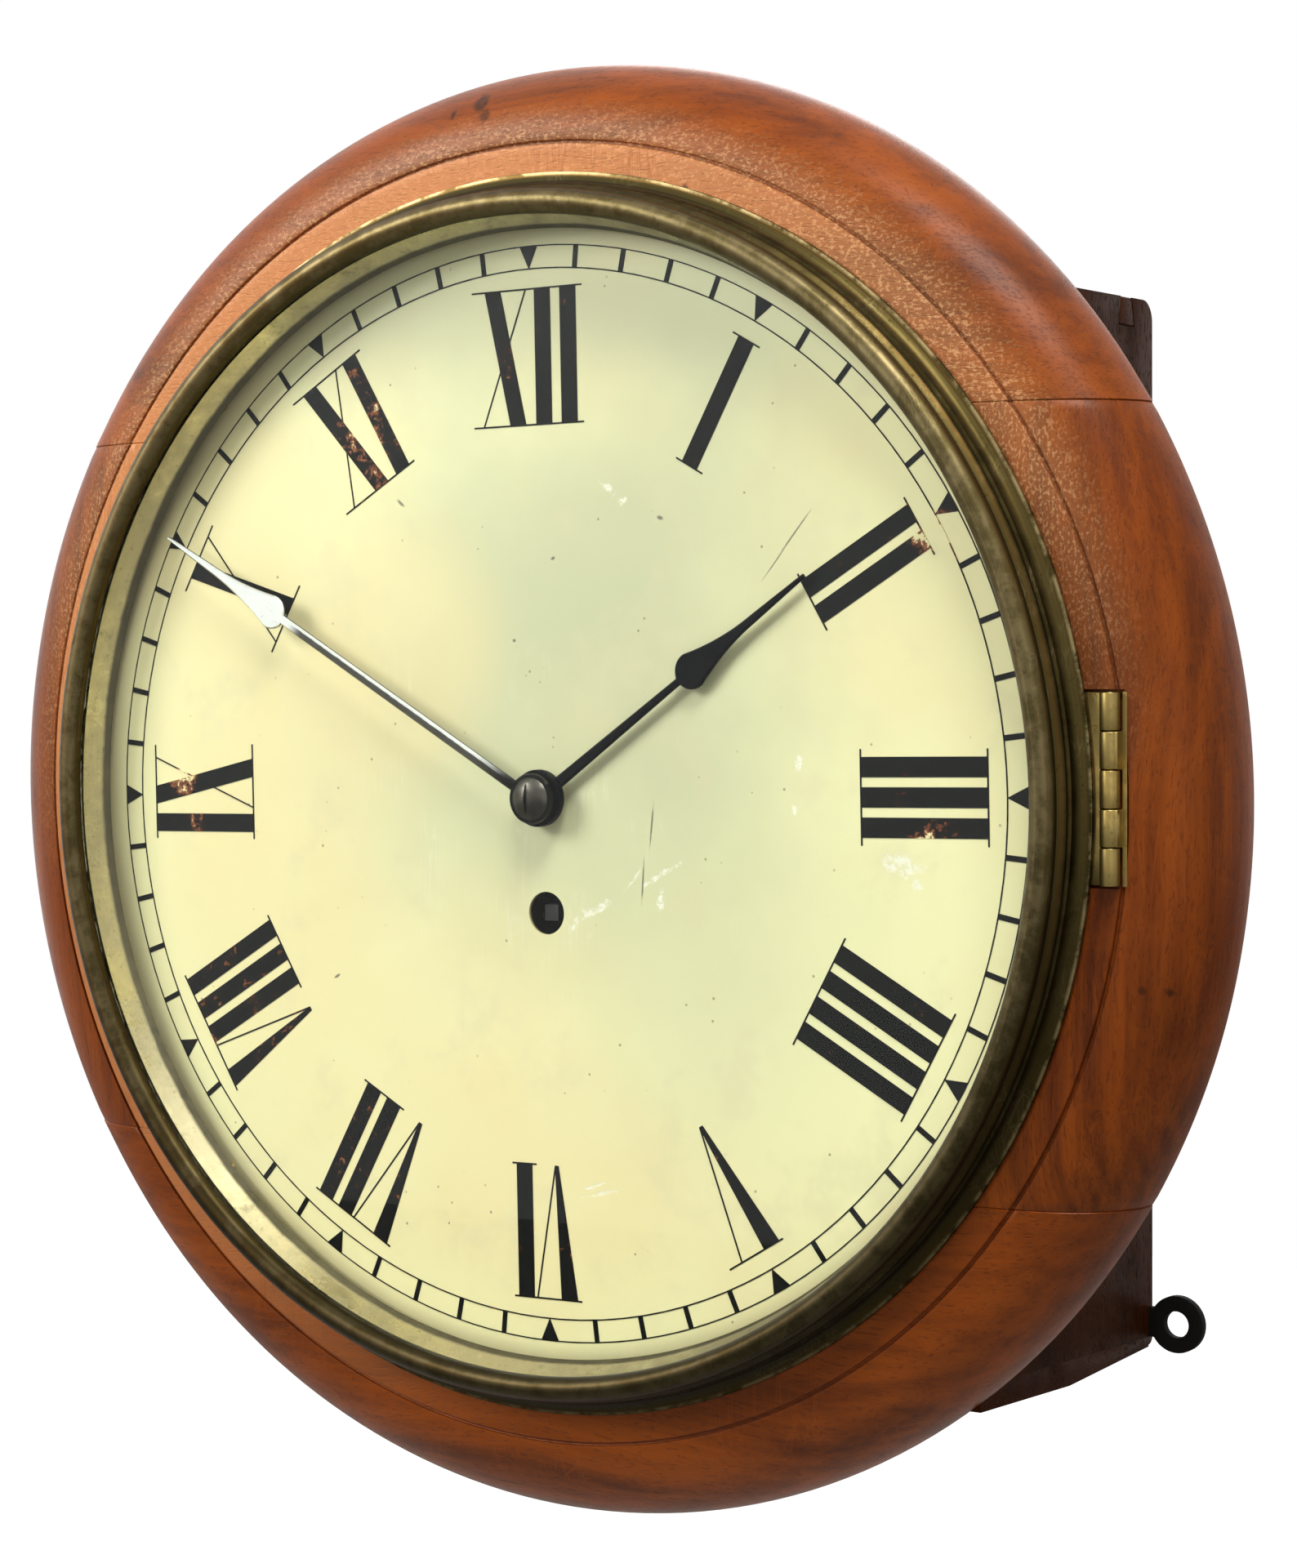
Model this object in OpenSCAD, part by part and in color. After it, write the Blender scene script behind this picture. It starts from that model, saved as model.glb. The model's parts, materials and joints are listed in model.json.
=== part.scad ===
// Wall-hung fusee dial clock. Lengths are in millimetres and angles in degrees.
// The origin is on the wall behind the middle of the dial: x right, z up, the dial faces -y.
// Each piece is drawn with x right, y up and z out from the wall, and then stood up by clock().

/* [Dial] */
// Radius of dial left clear inside the sight ring
sight_radius = 152; // [140:0.5:160]
// Width of dial sheet hidden behind the bezel
dial_margin = 7.4; // [6:0.1:9]
// Dial face above the wall
dial_height = 125; // [120:0.5:135]
// Thickness of the dial sheet
dial_sheet = 1.2; // [0.8:0.1:1.6]
// Thickness given to the painted figures
paint_thickness = 0.12; // [0.05:0.01:0.2]
// Turn of the painted figures and the hands, anticlockwise
dial_turn = 0.9; // [0:0.1:2]
// Space between the sight ring and the outer minute line
minute_ring_inset = 4; // [3:0.1:6]
// Width of the minute ring
minute_ring_width = 6.4; // [5:0.1:8]
// Width of the two fine lines of the minute ring
ring_line_width = 0.35; // [0.2:0.05:0.8]
// Width of a minute bar
minute_bar_width = 1.5; // [0.8:0.1:2]
// Width of the triangle at each hour
hour_mark_width = 5.8; // [4:0.1:7]
// Space between the minute ring and the numerals
numeral_gap = 5.2; // [4:0.1:7]
// Height of the numerals
numeral_height = 36.4; // [30:0.1:38]
// Width of the numerals' thick strokes
thick_stroke = 5.2; // [3:0.1:5.6]
// Width of the numerals' thin strokes
thin_stroke = 0.45; // [0.3:0.05:1]
// Spacing of the strokes side by side in a numeral
stroke_pitch = 7.7; // [6.5:0.1:8]
// Radius of the hole that the hour pipe passes through
dial_centre_hole = 6; // [5.7:0.1:7]
// Radius of the winding hole
winding_hole = 5.8; // [5:0.1:7]
// Offset of the movement's centre, to the right
works_x = 2; // [0:0.1:3]
// Offset of the movement's centre, upwards
works_y = -0.4; // [-1:0.1:1]

/* [Hands] */
// Angle of the minute hand clockwise from twelve
minute_angle = 299.7; // [0:0.1:360]
// Angle of the hour hand clockwise from twelve
hour_angle = 54.8; // [0:0.1:360]
// Space from the tip of the minute hand to the outer minute line
minute_tip_inset = 1.8; // [1:0.1:8]
// Length of the hour hand
hour_reach = 101.5; // [90:0.5:104]
// Thickness of each hand
hand_thickness = 1; // [0.6:0.1:1.2]
// Underside of the hour hand above the dial
hour_hand_rise = 2.2; // [1.8:0.1:2.4]
// Underside of the minute hand above the dial
minute_hand_rise = 6; // [5.6:0.1:6.4]
// Radius of the boss of the hour hand
hour_boss = 7.7; // [6.5:0.1:9]
// Radius of the boss of the minute hand
minute_boss = 6.8; // [5.8:0.1:8]
// Radius of the domed screw
screw_head = 5.7; // [4.5:0.1:6]
// Half-width of the widest part of the minute hand
minute_bulb = 4.75; // [3.5:0.05:5.5]
// Half-width of the widest part of the hour hand
hour_bulb = 4.9; // [3.5:0.05:5.5]

/* [Bezel] */
// Width of the flange
flange_width = 9.6; // [9:0.1:10.5]
// Thickness of the flange
flange_thickness = 1.4; // [1:0.1:1.6]
// Radius of the rolled edge in section
roll_bead = 3.45; // [3:0.05:3.6]
// Middle of the rolled edge above the dial
roll_height = 13.5; // [13.2:0.1:15]
// Thickness of the glass
glass_thickness = 2; // [1.5:0.1:2.2]
// Thickness of the sight ring
sight_sheet = 0.8; // [0.5:0.1:1]
// Knuckle radius of the bezel hinge
barrel_radius = 2.5; // [2:0.1:2.6]
// Pin radius of the bezel hinge
hinge_pin = 0.9; // [0.7:0.05:1.2]
// Length of the bezel hinge
hinge_length = 47.3; // [40:0.1:56]
// Middle of the bezel hinge above the centre line
hinge_rise = 5; // [0:0.1:8]
// Thickness of the hinge leaves
leaf_thickness = 1.2; // [0.8:0.1:1.3]
// Stroke of the sliding catch
catch_stroke = 6; // [5.6:0.1:8]

/* [Surround] */
// Radius of the opening behind the dial
surround_opening = 114; // [112:0.5:118]
// Depth of the surround, from its back to its flat
surround_depth = 24.5; // [22:0.5:26]
// Flat of the surround above the dial face
flat_rise = 2.5; // [2.2:0.1:2.7]
// Width of the flat, from the dial rebate to the groove
flat_width = 14.4; // [14:0.1:16]
// Width of the groove
groove_width = 1; // [0.6:0.1:1.4]
// Depth of the groove
groove_depth = 1.3; // [0.8:0.1:2]
// Radius of the big roll in section
roll_radius = 22.5; // [20:0.5:23.5]
// Distance of the glue joints from the centre line
glue_joint = 100; // [90:1:110]

/* [Box] */
// Width of the box
box_width = 244; // [240:1:252]
// Top of the box above the centre
box_top = 135.6; // [130:0.1:138]
// Lowest line of the box below the centre
box_drop = 160.1; // [157:0.1:164]
// Thickness of the side boards
side_thickness = 9; // [9:0.1:10]
// Thickness of the top board
top_thickness = 8; // [7:0.1:9]
// Thickness of the backboard
back_thickness = 10; // [9:0.5:11]
// Radius of the bow of the bottom board
bottom_bow = 600; // [500:10:900]
// Round of the box's rear upper edge
rear_round = 6; // [3:0.1:7]
// Width of a dovetail pin at its outer end
dovetail_pin = 7; // [5:0.1:9]
// Flare of a dovetail pin on each side
dovetail_flare = 1.5; // [0.5:0.1:2]
// Number of dovetail pins in each corner
dovetail_count = 3; // [2:1:3]
// Radius of the wooden pegs
peg_radius = 4.5; // [4:0.1:5]
// Height of the pegs from the centre line
peg_height = 85; // [83:0.5:90]
// Width of the blocks that the pegs enter
block_width = 18; // [15:0.5:20]

/* [Doors] */
// Lower edge of the side door
side_door_low = -45; // [-60:1:-40]
// Upper edge of the side door
side_door_high = 75; // [60:1:76]
// Rear edge of both doors above the wall
door_rear = 22; // [21:0.5:24]
// Distance of the front edge of both doors behind the front of the box
door_inset = 23; // [21:0.5:29]
// Half-width of the bottom door
bottom_door_half = 45; // [40:1:60]
// Thickness of the doors
door_thickness = 5; // [4:0.1:5.4]
// Width of the ledge that a door shuts against
door_ledge = 5; // [4:0.1:6]
// Gap around a door
door_gap = 0.6; // [0.5:0.05:1]
// Knuckle radius of the door hinges
door_knuckle = 2; // [1.8:0.05:2.2]
// Pin radius of the door hinges
door_pin = 0.8; // [0.6:0.05:1]
// Length of a door hinge
door_hinge_length = 25; // [20:0.5:28]
// Length of a turn-button
button_length = 22; // [20:0.5:24]
// Width of a turn-button
button_width = 7; // [6:0.1:8]
// Thickness of a turn-button
button_thickness = 2; // [1.5:0.1:2.5]

/* [Wall fittings] */
// Radius of the hole in a wall lug
lug_hole = 3.75; // [3:0.05:4]
// Distance of the lug holes outside the box
lug_reach = 8.4; // [7:0.1:12]
// Lug holes below the centre
lug_y = 150.9; // [148:0.1:151]
// Outer radius of a lug's ring
lug_ring = 8.05; // [7.5:0.05:9]
// Height of a lug's tongue
lug_tongue = 8.3; // [7.5:0.1:8.3]
// Thickness of the lugs and the hanging plate
fitting_thickness = 2.5; // [2:0.1:3]
// Radius of the hanging hole
hanging_hole = 4.5; // [4:0.1:5]
// Distance of the hanging hole below the top of the box
hanging_drop = 25.6; // [24:0.1:34]

/* [Movement frame] */
// Gap between the dial sheet and the front plate
dial_gap = 26; // [26:0.1:27]
// Thickness of the plates
plate_thickness = 3; // [2.5:0.1:3.2]
// Distance between the plates
pillar_length = 44; // [44:0.1:45]
// Left edge of the plates from the works' centre
plate_left = 84; // [83:0.5:86]
// Right edge of the plates from the works' centre
plate_right = 42; // [41:0.5:48]
// Upper edge of the plates from the works' centre
plate_top = 76; // [74:0.5:78]
// Lower edge of the plates from the works' centre
plate_bottom = 66; // [66:0.5:70]
// Radius of the pillars
pillar_radius = 4; // [3.5:0.1:4.5]
// Radius of the dial feet
foot_radius = 2; // [1.8:0.1:2.4]
// Radius of the taper pins
taper_pin = 0.9; // [0.6:0.1:1]
// Running clearance of pivots and pipes
pivot_clearance = 0.05; // [0.03:0.01:0.08]

/* [Going train] */
// Teeth of the great wheel
great_teeth = 96; // [96:1:96]
// Leaves of the centre pinion
centre_leaves = 8; // [8:1:8]
// Teeth of the centre wheel and the third wheel
train_teeth = 84; // [84:1:84]
// Leaves of the third pinion and the escape pinion
train_leaves = 7; // [7:1:7]
// Teeth of the escape wheel
escape_teeth = 30; // [30:1:30]
// Pitch diameter of the great wheel per tooth
great_module = 0.6; // [0.6:0.01:0.61]
// Pitch diameter of the centre wheel per tooth
centre_module = 0.5; // [0.5:0.005:0.505]
// Pitch diameter of the third wheel per tooth
third_module = 0.45; // [0.45:0.005:0.455]
// Radius of the escape wheel
escape_radius = 15.5; // [15.2:0.1:15.7]
// Turn of the third arbor about the centre arbor from the right
third_angle = 57.57; // [57:0.01:58]
// Radius of the centre arbor
centre_arbor_radius = 1.5; // [1.3:0.1:1.6]
// Thickness of the train wheels
wheel_thickness = 1.5; // [1:0.1:1.6]
// Clearance of the pallet nibs over the escape wheel
pallet_clearance = 0.35; // [0.3:0.01:0.5]

/* [Fusee and barrel] */
// Radius of the barrel
barrel_size = 24; // [23:0.1:24.4]
// Wall of the barrel
barrel_wall = 1.4; // [1:0.1:1.8]
// Barrel arbor left of the works' centre
barrel_left = 56; // [55.6:0.1:58]
// Barrel arbor below the works' centre
barrel_down = 28; // [27:0.1:30]
// Radius of the barrel arbor
barrel_arbor_radius = 3; // [2.8:0.1:3.2]
// Turns of the mainspring
spring_turns = 6; // [4:1:7]
// Radius of the fusee at its rear end
fusee_large = 18.5; // [17.5:0.1:19]
// Radius of the fusee at its front end
fusee_small = 8.5; // [8:0.1:9.5]
// Number of grooves in the fusee
fusee_grooves = 16; // [14:1:16]
// Radius of the fusee line
line_radius = 0.8; // [0.6:0.05:0.8]
// Radius of the winding arbor
winding_radius = 3.2; // [3:0.1:3.4]
// Width of the winding square
winding_square = 4.4; // [4:0.1:4.6]
// End of the winding square behind the dial face
square_inset = 2.5; // [1.5:0.1:4]
// Radius of the fusee ratchet
ratchet_radius = 13; // [12:0.1:13.5]
// Teeth of the ratchets
ratchet_teeth = 18; // [16:1:24]
// Radius of the set-up ratchet
setup_radius = 9; // [8:0.1:9.5]

/* [Pendulum] */
// Distance from the bend of the suspension to the middle of the bob
pendulum_length = 172.6; // [170:0.1:176]
// Radius of the bob
bob_radius = 21; // [18:0.5:23]
// Thickness of the bob
bob_thickness = 15; // [12:0.5:16]
// Radius of the pendulum rod
rod_radius = 1.5; // [1.2:0.1:1.7]
// Radius of the rating nut
nut_radius = 5; // [4:0.1:6]
// Width of the suspension spring
spring_width = 5; // [4:0.1:6]
// Length of the crutch
crutch_length = 45; // [40:0.5:50]

/* [Motion work] */
// Teeth of the cannon wheel and the minute wheel
minute_teeth = 30; // [30:1:30]
// Leaves of the minute pinion
minute_leaves = 6; // [6:1:6]
// Teeth of the hour wheel
hour_teeth = 72; // [72:1:72]
// Distance from the centre arbor to the minute stud
stud_distance = 26; // [26:0.1:26.4]
// Turn of the minute stud about the centre from the right
stud_angle = 30; // [25:1:35]
// Outer radius of the cannon pipe
cannon_pipe = 3; // [2.8:0.1:3.1]
// Wall of the bridge pipe and the hour pipe
pipe_wall = 1; // [0.9:0.05:1.1]

/* [Hidden] */
$fn = 72;

wood = "#8a4522";
dark_wood = "#6b3519";
gilt = "#9a8246";
yellow = "#b59a55";
iron = "#2b2b2c";
steel = "#8d9096";
blued = "#15161a";
paint = "#d8ceb0";

// Gap kept between pieces that move past each other
body_gap = 0.3;
// Levels above the wall
dial_back = dial_height - dial_sheet;
front_z1 = dial_back - dial_gap;
front_z0 = front_z1 - plate_thickness;
back_z1 = front_z0 - pillar_length;
back_z0 = back_z1 - plate_thickness;
surround_front = dial_height + flat_rise;
box_depth = surround_front - surround_depth;
// Radii of the surround
dial_radius = sight_radius + dial_margin;
rebate = dial_radius + 0.6;
groove_r = rebate + flat_width;
roll_r = groove_r + 0.9;
roll_z = surround_front - 0.5 - roll_radius;
reach = roll_r + roll_radius + 1;
// Box
box_half = box_width / 2;
inner_half = box_half - side_thickness;
lug_x = box_half + lug_reach;
seam_rear = -box_drop + 4.9;
seam_front = -box_drop + 9;
board_top = -box_drop + 10.6;
bow_z = 52;
peg_z = box_depth - 13.5;
hanging_height = box_top - hanging_drop;
dovetail_first = 0.16 * box_depth;
dovetail_pitch = 0.68 * box_depth / (dovetail_count - 1);
// Dial
minute_outer = sight_radius - minute_ring_inset;
minute_inner = minute_outer - minute_ring_width;
numeral_outer = minute_inner - numeral_gap;
numeral_inner = numeral_outer - numeral_height;
screw_r = sight_radius + 3.9;
screw_angles = [45, 135, 225, 315];
// Bezel
bezel_r = sight_radius + 5.2;
flange_r = bezel_r + flange_width;
flange_z = surround_front + body_gap;
bead_r = bezel_r + 0.9;
glass_z1 = dial_height + roll_height - 0.7;
glass_z0 = glass_z1 - glass_thickness;
hinge_x = flange_r + barrel_radius + 1.7;
hinge_z = flange_z + 0.4;
leaf_x = hinge_x + barrel_radius + body_gap;
knuckle = hinge_length / 5;
hook_x = flange_r - 3.8;
hook_half = 7;
catch_z1 = box_depth - body_gap;
catch_half = 4;
knob_x = box_half + 9;
catch_screws = [hook_x - 9, (hook_x - 9 + knob_x) / 2];
// Doors
door_front = box_depth - door_inset;
seat = door_thickness - body_gap;
door_axis_z = door_rear + door_gap / 2;
stand = door_knuckle + body_gap;
bow_rise = bottom_bow - sqrt(pow(bottom_bow, 2) - pow(bow_z - door_axis_z, 2));
bottom_face = -box_drop + bow_rise;
button_z = door_front + button_width / 2 + 1.2;
side_button_y = (side_door_low + side_door_high) / 2;
// Train: positions are from the works' centre
fusee_y = -great_module * (great_teeth + centre_leaves) / 2;
third_r = centre_module * (train_teeth + train_leaves) / 2;
third_p = third_r * [cos(third_angle), sin(third_angle)];
escape_d = third_module * (train_teeth + train_leaves) / 2;
escape_y = third_p[1] + sqrt(pow(escape_d, 2) - pow(third_p[0], 2));
escape_line = atan2(escape_y - third_p[1], -third_p[0]);
pallet_y = escape_y + escape_radius * sqrt(2);
barrel_p = [-barrel_left, -barrel_down];
stud_p = stud_distance * [cos(stud_angle), sin(stud_angle)];
minute_module = stud_distance / minute_teeth;
hour_module = 2 * stud_distance / (hour_teeth + minute_leaves);
pillar_xs = [7 - plate_left, plate_right - 7];
pillar_ys = [plate_top - 7, 7 - plate_bottom];
foot_xs = [22 - plate_left, plate_right - 20];
foot_ys = [plate_top - 8, 8 - plate_bottom];
pillar_end = 2.5;
small_arbor = 1;
small_pivot = 0.75;
click_pin = 1;
// Depths of the train
centre_z = back_z1 + 1;
great_z = back_z1 + 4.2;
great_thick = 2.5;
ratchet_z = great_z + great_thick + body_gap;
ratchet_thick = 2;
fusee_z = ratchet_z + ratchet_thick + 0.7;
fusee_end = front_z0 - 6.8;
fusee_length = fusee_end - fusee_z;
fusee_pitch = (fusee_length - 1.1) / fusee_grooves;
third_z = back_z1 + 18.5;
escape_z = back_z1 + 28.2;
barrel_z0 = back_z1 + 5.2;
barrel_z1 = front_z0 - 4.8;
barrel_body = 5.5;
line_groove = line_radius + pivot_clearance;
// Pipes
bridge_bore = cannon_pipe + pivot_clearance + 0.03;
bridge_pipe = bridge_bore + pipe_wall;
hour_bore = bridge_pipe + pivot_clearance + 0.03;
hour_pipe = hour_bore + pipe_wall;
cannon_z = front_z1 + 1.7;
bridge_z = front_z1 + 5.7;
hour_z = front_z1 + 8.2;
minute_z = dial_height + minute_hand_rise;
hour_hand_z = dial_height + hour_hand_rise;
hour_boss_top = hour_hand_z + 2.4;
minute_boss_top = minute_z + 1.4;
arbor_end = hour_boss_top;
// Pendulum
rod_z = back_z0 - 13.8;
cock_z1 = back_z0 - 7;
cock_z0 = cock_z1 - 3;
bob_y = pallet_y - pendulum_length;
nut_top = bob_y - bob_radius - body_gap;
nut_height = 4;
rod_end = nut_top - nut_height - 5;

module clock() rotate([90, 0, 0]) children();
module works() clock() translate([works_x, works_y, 0]) children();
module disc(r, z0, z1) translate([0, 0, z0]) cylinder(r = r, h = z1 - z0);
module block(x0, x1, y0, y1, z0, z1)
    translate([x0, y0, z0]) cube([x1 - x0, y1 - y0, z1 - z0]);
// A profile drawn as (z, y) and run from x0 to x1
module across(x0, x1)
    translate([x1, 0, 0]) rotate([0, -90, 0]) linear_extrude(x1 - x0) children();
// A round bar along x
module bar_x(r, x0, x1) translate([x0, 0, 0]) rotate([0, 90, 0]) cylinder(r = r, h = x1 - x0);
// A round bar along y
module bar_y(r, y0, y1) translate([0, y0, 0]) rotate([-90, 0, 0]) cylinder(r = r, h = y1 - y0);
module flip_x() {
    children();
    mirror([1, 0, 0]) children();
}
// A flat strip from point a to point b
module link(a, b, w)
    translate(a) rotate(atan2(b[1] - a[1], b[0] - a[0]))
        translate([0, -w / 2]) square([norm(b - a), w]);

// Surround
module surround_ring() rotate_extrude() difference() {
    union() {
        polygon([[surround_opening, box_depth], [roll_r, box_depth],
            [roll_r, surround_front - 0.5], [groove_r, surround_front - 0.5],
            [groove_r, surround_front], [rebate, surround_front],
            [rebate, dial_back], [surround_opening, dial_back]]);
        intersection() {
            translate([roll_r, roll_z]) circle(roll_radius);
            translate([roll_r - 5, box_depth]) square([roll_radius + 10, roll_radius + 10]);
        }
    }
    translate([groove_r, surround_front - groove_depth]) square([groove_width, 10]);
}
module surround_cuts() {
    for (a = screw_angles) rotate(a) translate([screw_r, 0, 0])
        disc(1.2, dial_back - 10, surround_front);
    block(rebate - 6, groove_r, hinge_rise - hinge_length / 2 - 0.6,
        hinge_rise + hinge_length / 2 + 0.6, hinge_z - barrel_radius - 0.5, surround_front + 9);
    block(groove_r - 1, leaf_x + leaf_thickness, hinge_rise - hinge_length / 2 - 0.6,
        hinge_rise + hinge_length / 2 + 0.6, hinge_z - 13, surround_front + 9);
    block(-hook_x - 3, -hook_x + 1.3, -hook_half - 0.4, hook_half + 0.4,
        box_depth - 9, surround_front + 9);
    for (x = catch_screws) translate([-x, 0, 0]) disc(1.2, box_depth - 1, box_depth + 9);
}
module segment(x0, x1, y0, y1) color(wood) clock() intersection() {
    difference() {
        surround_ring();
        surround_cuts();
    }
    block(x0, x1, y0, y1, box_depth - 5, surround_front + 5);
}
module surround_top() segment(-reach, reach, glue_joint, reach);
module surround_bottom() segment(-reach, reach, -reach, -glue_joint);
module surround_left() segment(-reach, 0, -glue_joint, glue_joint);
module surround_right() segment(0, reach, -glue_joint, glue_joint);

// Box
module box_outline() difference() {
    intersection() {
        translate([0, -box_drop - 5]) square([box_depth, box_top + box_drop + 5]);
        translate([bow_z, bottom_bow - box_drop]) circle(bottom_bow);
    }
    difference() {
        translate([-1, box_top - rear_round]) square([rear_round + 1, rear_round + 1]);
        translate([rear_round, box_top - rear_round]) circle(rear_round);
    }
    difference() {
        translate([-1, -box_drop - 5]) square([3.5, 10.2]);
        translate([2.5, -box_drop + 5.2]) circle(2.5);
    }
}
module below_seam() polygon([[0, -box_drop - 9], [box_depth, -box_drop - 9],
    [box_depth, seam_front], [0, seam_rear]]);
module lug_shape(low) {
    translate([lug_x, -lug_y, 0]) disc(lug_ring, 0, fitting_thickness);
    block(box_half - 32, lug_x, -lug_y - lug_tongue / 2 - low, -lug_y + lug_tongue / 2,
        0, fitting_thickness);
}
module fitting_screws() {
    flip_x() for (x = [box_half - 26, box_half - 14])
        translate([x, -lug_y, 0]) disc(1.6, 0, 9);
    flip_x() translate([13, hanging_height - 12, 0]) disc(1.6, 0, 9);
}
module dovetails()
    for (i = [0 : dovetail_count - 1])
        across(inner_half, box_half) translate([dovetail_first + i * dovetail_pitch, 0])
            polygon([[-dovetail_pin / 2, box_top], [dovetail_pin / 2, box_top],
                [dovetail_pin / 2 + dovetail_flare, box_top - top_thickness],
                [-dovetail_pin / 2 - dovetail_flare, box_top - top_thickness]]);
module side_board() difference() {
    across(inner_half, box_half) difference() {
        box_outline();
        below_seam();
    }
    dovetails();
    lug_shape(2);
    for (s = [-1, 1]) translate([0, s * peg_height, peg_z]) bar_x(peg_radius, 0, box_half + 1);
}
module case_side_left() color(wood) clock() mirror([1, 0, 0]) side_board();
module case_side_right() color(wood) clock() difference() {
    side_board();
    block(box_half - door_thickness, box_half + 1, side_door_low, side_door_high,
        door_rear, door_front);
    block(0, box_half + 1, side_door_low + door_ledge, side_door_high - door_ledge,
        door_rear + door_ledge, door_front - door_ledge);
    translate([0, side_button_y, button_z]) bar_x(1.5, box_half - 7, box_half + 1);
    side_hinges() hinge_plate(1);
}
module case_top() color(wood) clock() {
    across(-inner_half, inner_half) intersection() {
        box_outline();
        translate([0, box_top - top_thickness]) square([box_depth, top_thickness + 1]);
    }
    flip_x() dovetails();
}
module case_bottom() color(wood) clock() difference() {
    union() {
        across(-box_half, box_half) intersection() {
            box_outline();
            below_seam();
        }
        across(-inner_half, inner_half) intersection() {
            box_outline();
            translate([back_thickness, -box_drop - 9])
                square([box_depth - back_thickness, board_top + box_drop + 9]);
        }
    }
    across(-bottom_door_half, bottom_door_half) difference() {
        translate([door_rear, -box_drop - 9]) square([door_front - door_rear, box_drop]);
        translate([bow_z, bottom_bow - box_drop]) circle(bottom_bow - door_thickness);
    }
    block(-bottom_door_half + door_ledge, bottom_door_half - door_ledge, -box_drop - 9,
        board_top + 9, door_rear + door_ledge, door_front - door_ledge);
    translate([0, 0, button_z]) bar_y(1.5, -box_drop - 2, -box_drop + 8);
    bottom_hinges() hinge_plate(1);
}
module backboard() color(dark_wood) clock() difference() {
    across(-inner_half, inner_half) difference() {
        translate([0, -box_drop - 5])
            square([back_thickness, box_top - top_thickness + box_drop + 5]);
        below_seam();
    }
    flip_x() lug_shape(2);
    block(-20, 20, hanging_height - 18, hanging_height + 14, 0, fitting_thickness);
    translate([0, hanging_height, 0]) disc(hanging_hole + 3.5, 0, back_thickness - 1.5);
    fitting_screws();
}
module case_blocks() color(dark_wood) clock() flip_x() for (s = [-1, 1])
    translate([0, s * peg_height, 0]) difference() {
        block(inner_half - block_width, inner_half, -12, 12, peg_z - 13.5, box_depth);
        translate([0, 0, peg_z]) bar_x(peg_radius, inner_half - block_width + 2, box_half);
    }
module case_pegs() color(dark_wood) clock() flip_x() for (s = [-1, 1])
    translate([0, s * peg_height, peg_z])
        bar_x(peg_radius, inner_half - block_width + 2, box_half + 5);
module wall_fittings() color(iron) clock() difference() {
    union() {
        flip_x() lug_shape(0);
        block(-20, 20, hanging_height - 18, hanging_height + 14, 0, fitting_thickness);
    }
    flip_x() translate([lug_x, -lug_y, 0]) disc(lug_hole, -1, fitting_thickness + 1);
    translate([0, hanging_height, 0]) disc(hanging_hole, -1, fitting_thickness + 1);
    fitting_screws();
}
module case_screws() color(yellow) clock() {
    fitting_screws();
    for (a = screw_angles) rotate(a) translate([screw_r, 0, 0]) {
        disc(1.2, dial_back - 10, dial_height);
        disc(2.5, dial_height, dial_height + 1.2);
    }
    for (x = catch_screws) translate([-x, 0, 0]) {
        disc(1.2, catch_z1 - 2.6, box_depth + 9);
        disc(2.5, catch_z1 - 3.5, catch_z1 - 2.3);
    }
    translate([0, side_button_y, button_z]) {
        bar_x(1.5, box_half - 7, box_half + button_thickness + 1);
        bar_x(3, box_half + button_thickness + 0.6, box_half + button_thickness + 1.6);
    }
    translate([0, 0, button_z]) {
        bar_y(1.5, -box_drop - button_thickness - 1, -box_drop + 8);
        bar_y(3, -box_drop - button_thickness - 1.6, -box_drop - button_thickness - 0.6);
    }
}

// Doors. A hinge is drawn with its axis along y and the door towards +z.
module hinge_plate(side) mirror([0, 0, side])
    block(-stand - 0.8, -stand + 1, -door_hinge_length / 2, door_hinge_length / 2,
        stand, stand + 8);
module hinge_knuckle(side) mirror([0, 0, side]) {
    bar_y(door_knuckle, 0.15, door_hinge_length / 3 - 0.15);
    block(-stand + 0.4, 0, 0.15, door_hinge_length / 3 - 0.15, 0, stand + 0.5);
}
module hinge_fixed() {
    for (i = [0, 2]) translate([0, (i - 1.5) * door_hinge_length / 3, 0]) hinge_knuckle(1);
    bar_y(door_pin, -door_hinge_length / 2, door_hinge_length / 2);
    hinge_plate(1);
}
module hinge_moving() difference() {
    union() {
        translate([0, -door_hinge_length / 6, 0]) hinge_knuckle(0);
        hinge_plate(0);
    }
    bar_y(door_pin + pivot_clearance, -door_hinge_length, door_hinge_length);
}
module side_hinges() for (y = [side_door_low + 22, side_door_high - 22])
    translate([box_half + stand, y, door_axis_z]) children();
module bottom_hinges() flip_x() translate([bottom_door_half - 20, bottom_face - stand, door_axis_z])
    rotate(-90) children();
module side_door() color(wood) clock() difference() {
    block(box_half - seat, box_half, side_door_low + door_gap, side_door_high - door_gap,
        door_rear + door_gap, door_front - door_gap);
    side_hinges() hinge_plate(0);
}
module side_door_leaf() color(gilt) clock() side_hinges() hinge_moving();
module bottom_door() color(wood) clock() difference() {
    across(door_gap - bottom_door_half, bottom_door_half - door_gap) difference() {
        intersection() {
            box_outline();
            translate([door_rear + door_gap, -box_drop - 9])
                square([door_front - door_rear - 2 * door_gap, box_drop]);
        }
        translate([bow_z, bottom_bow - box_drop]) circle(bottom_bow - seat);
    }
    bottom_hinges() hinge_plate(0);
}
module bottom_door_leaf() color(gilt) clock() bottom_hinges() hinge_moving();
module door_hinges() color(gilt) clock() {
    side_hinges() hinge_fixed();
    bottom_hinges() hinge_fixed();
}
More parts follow.
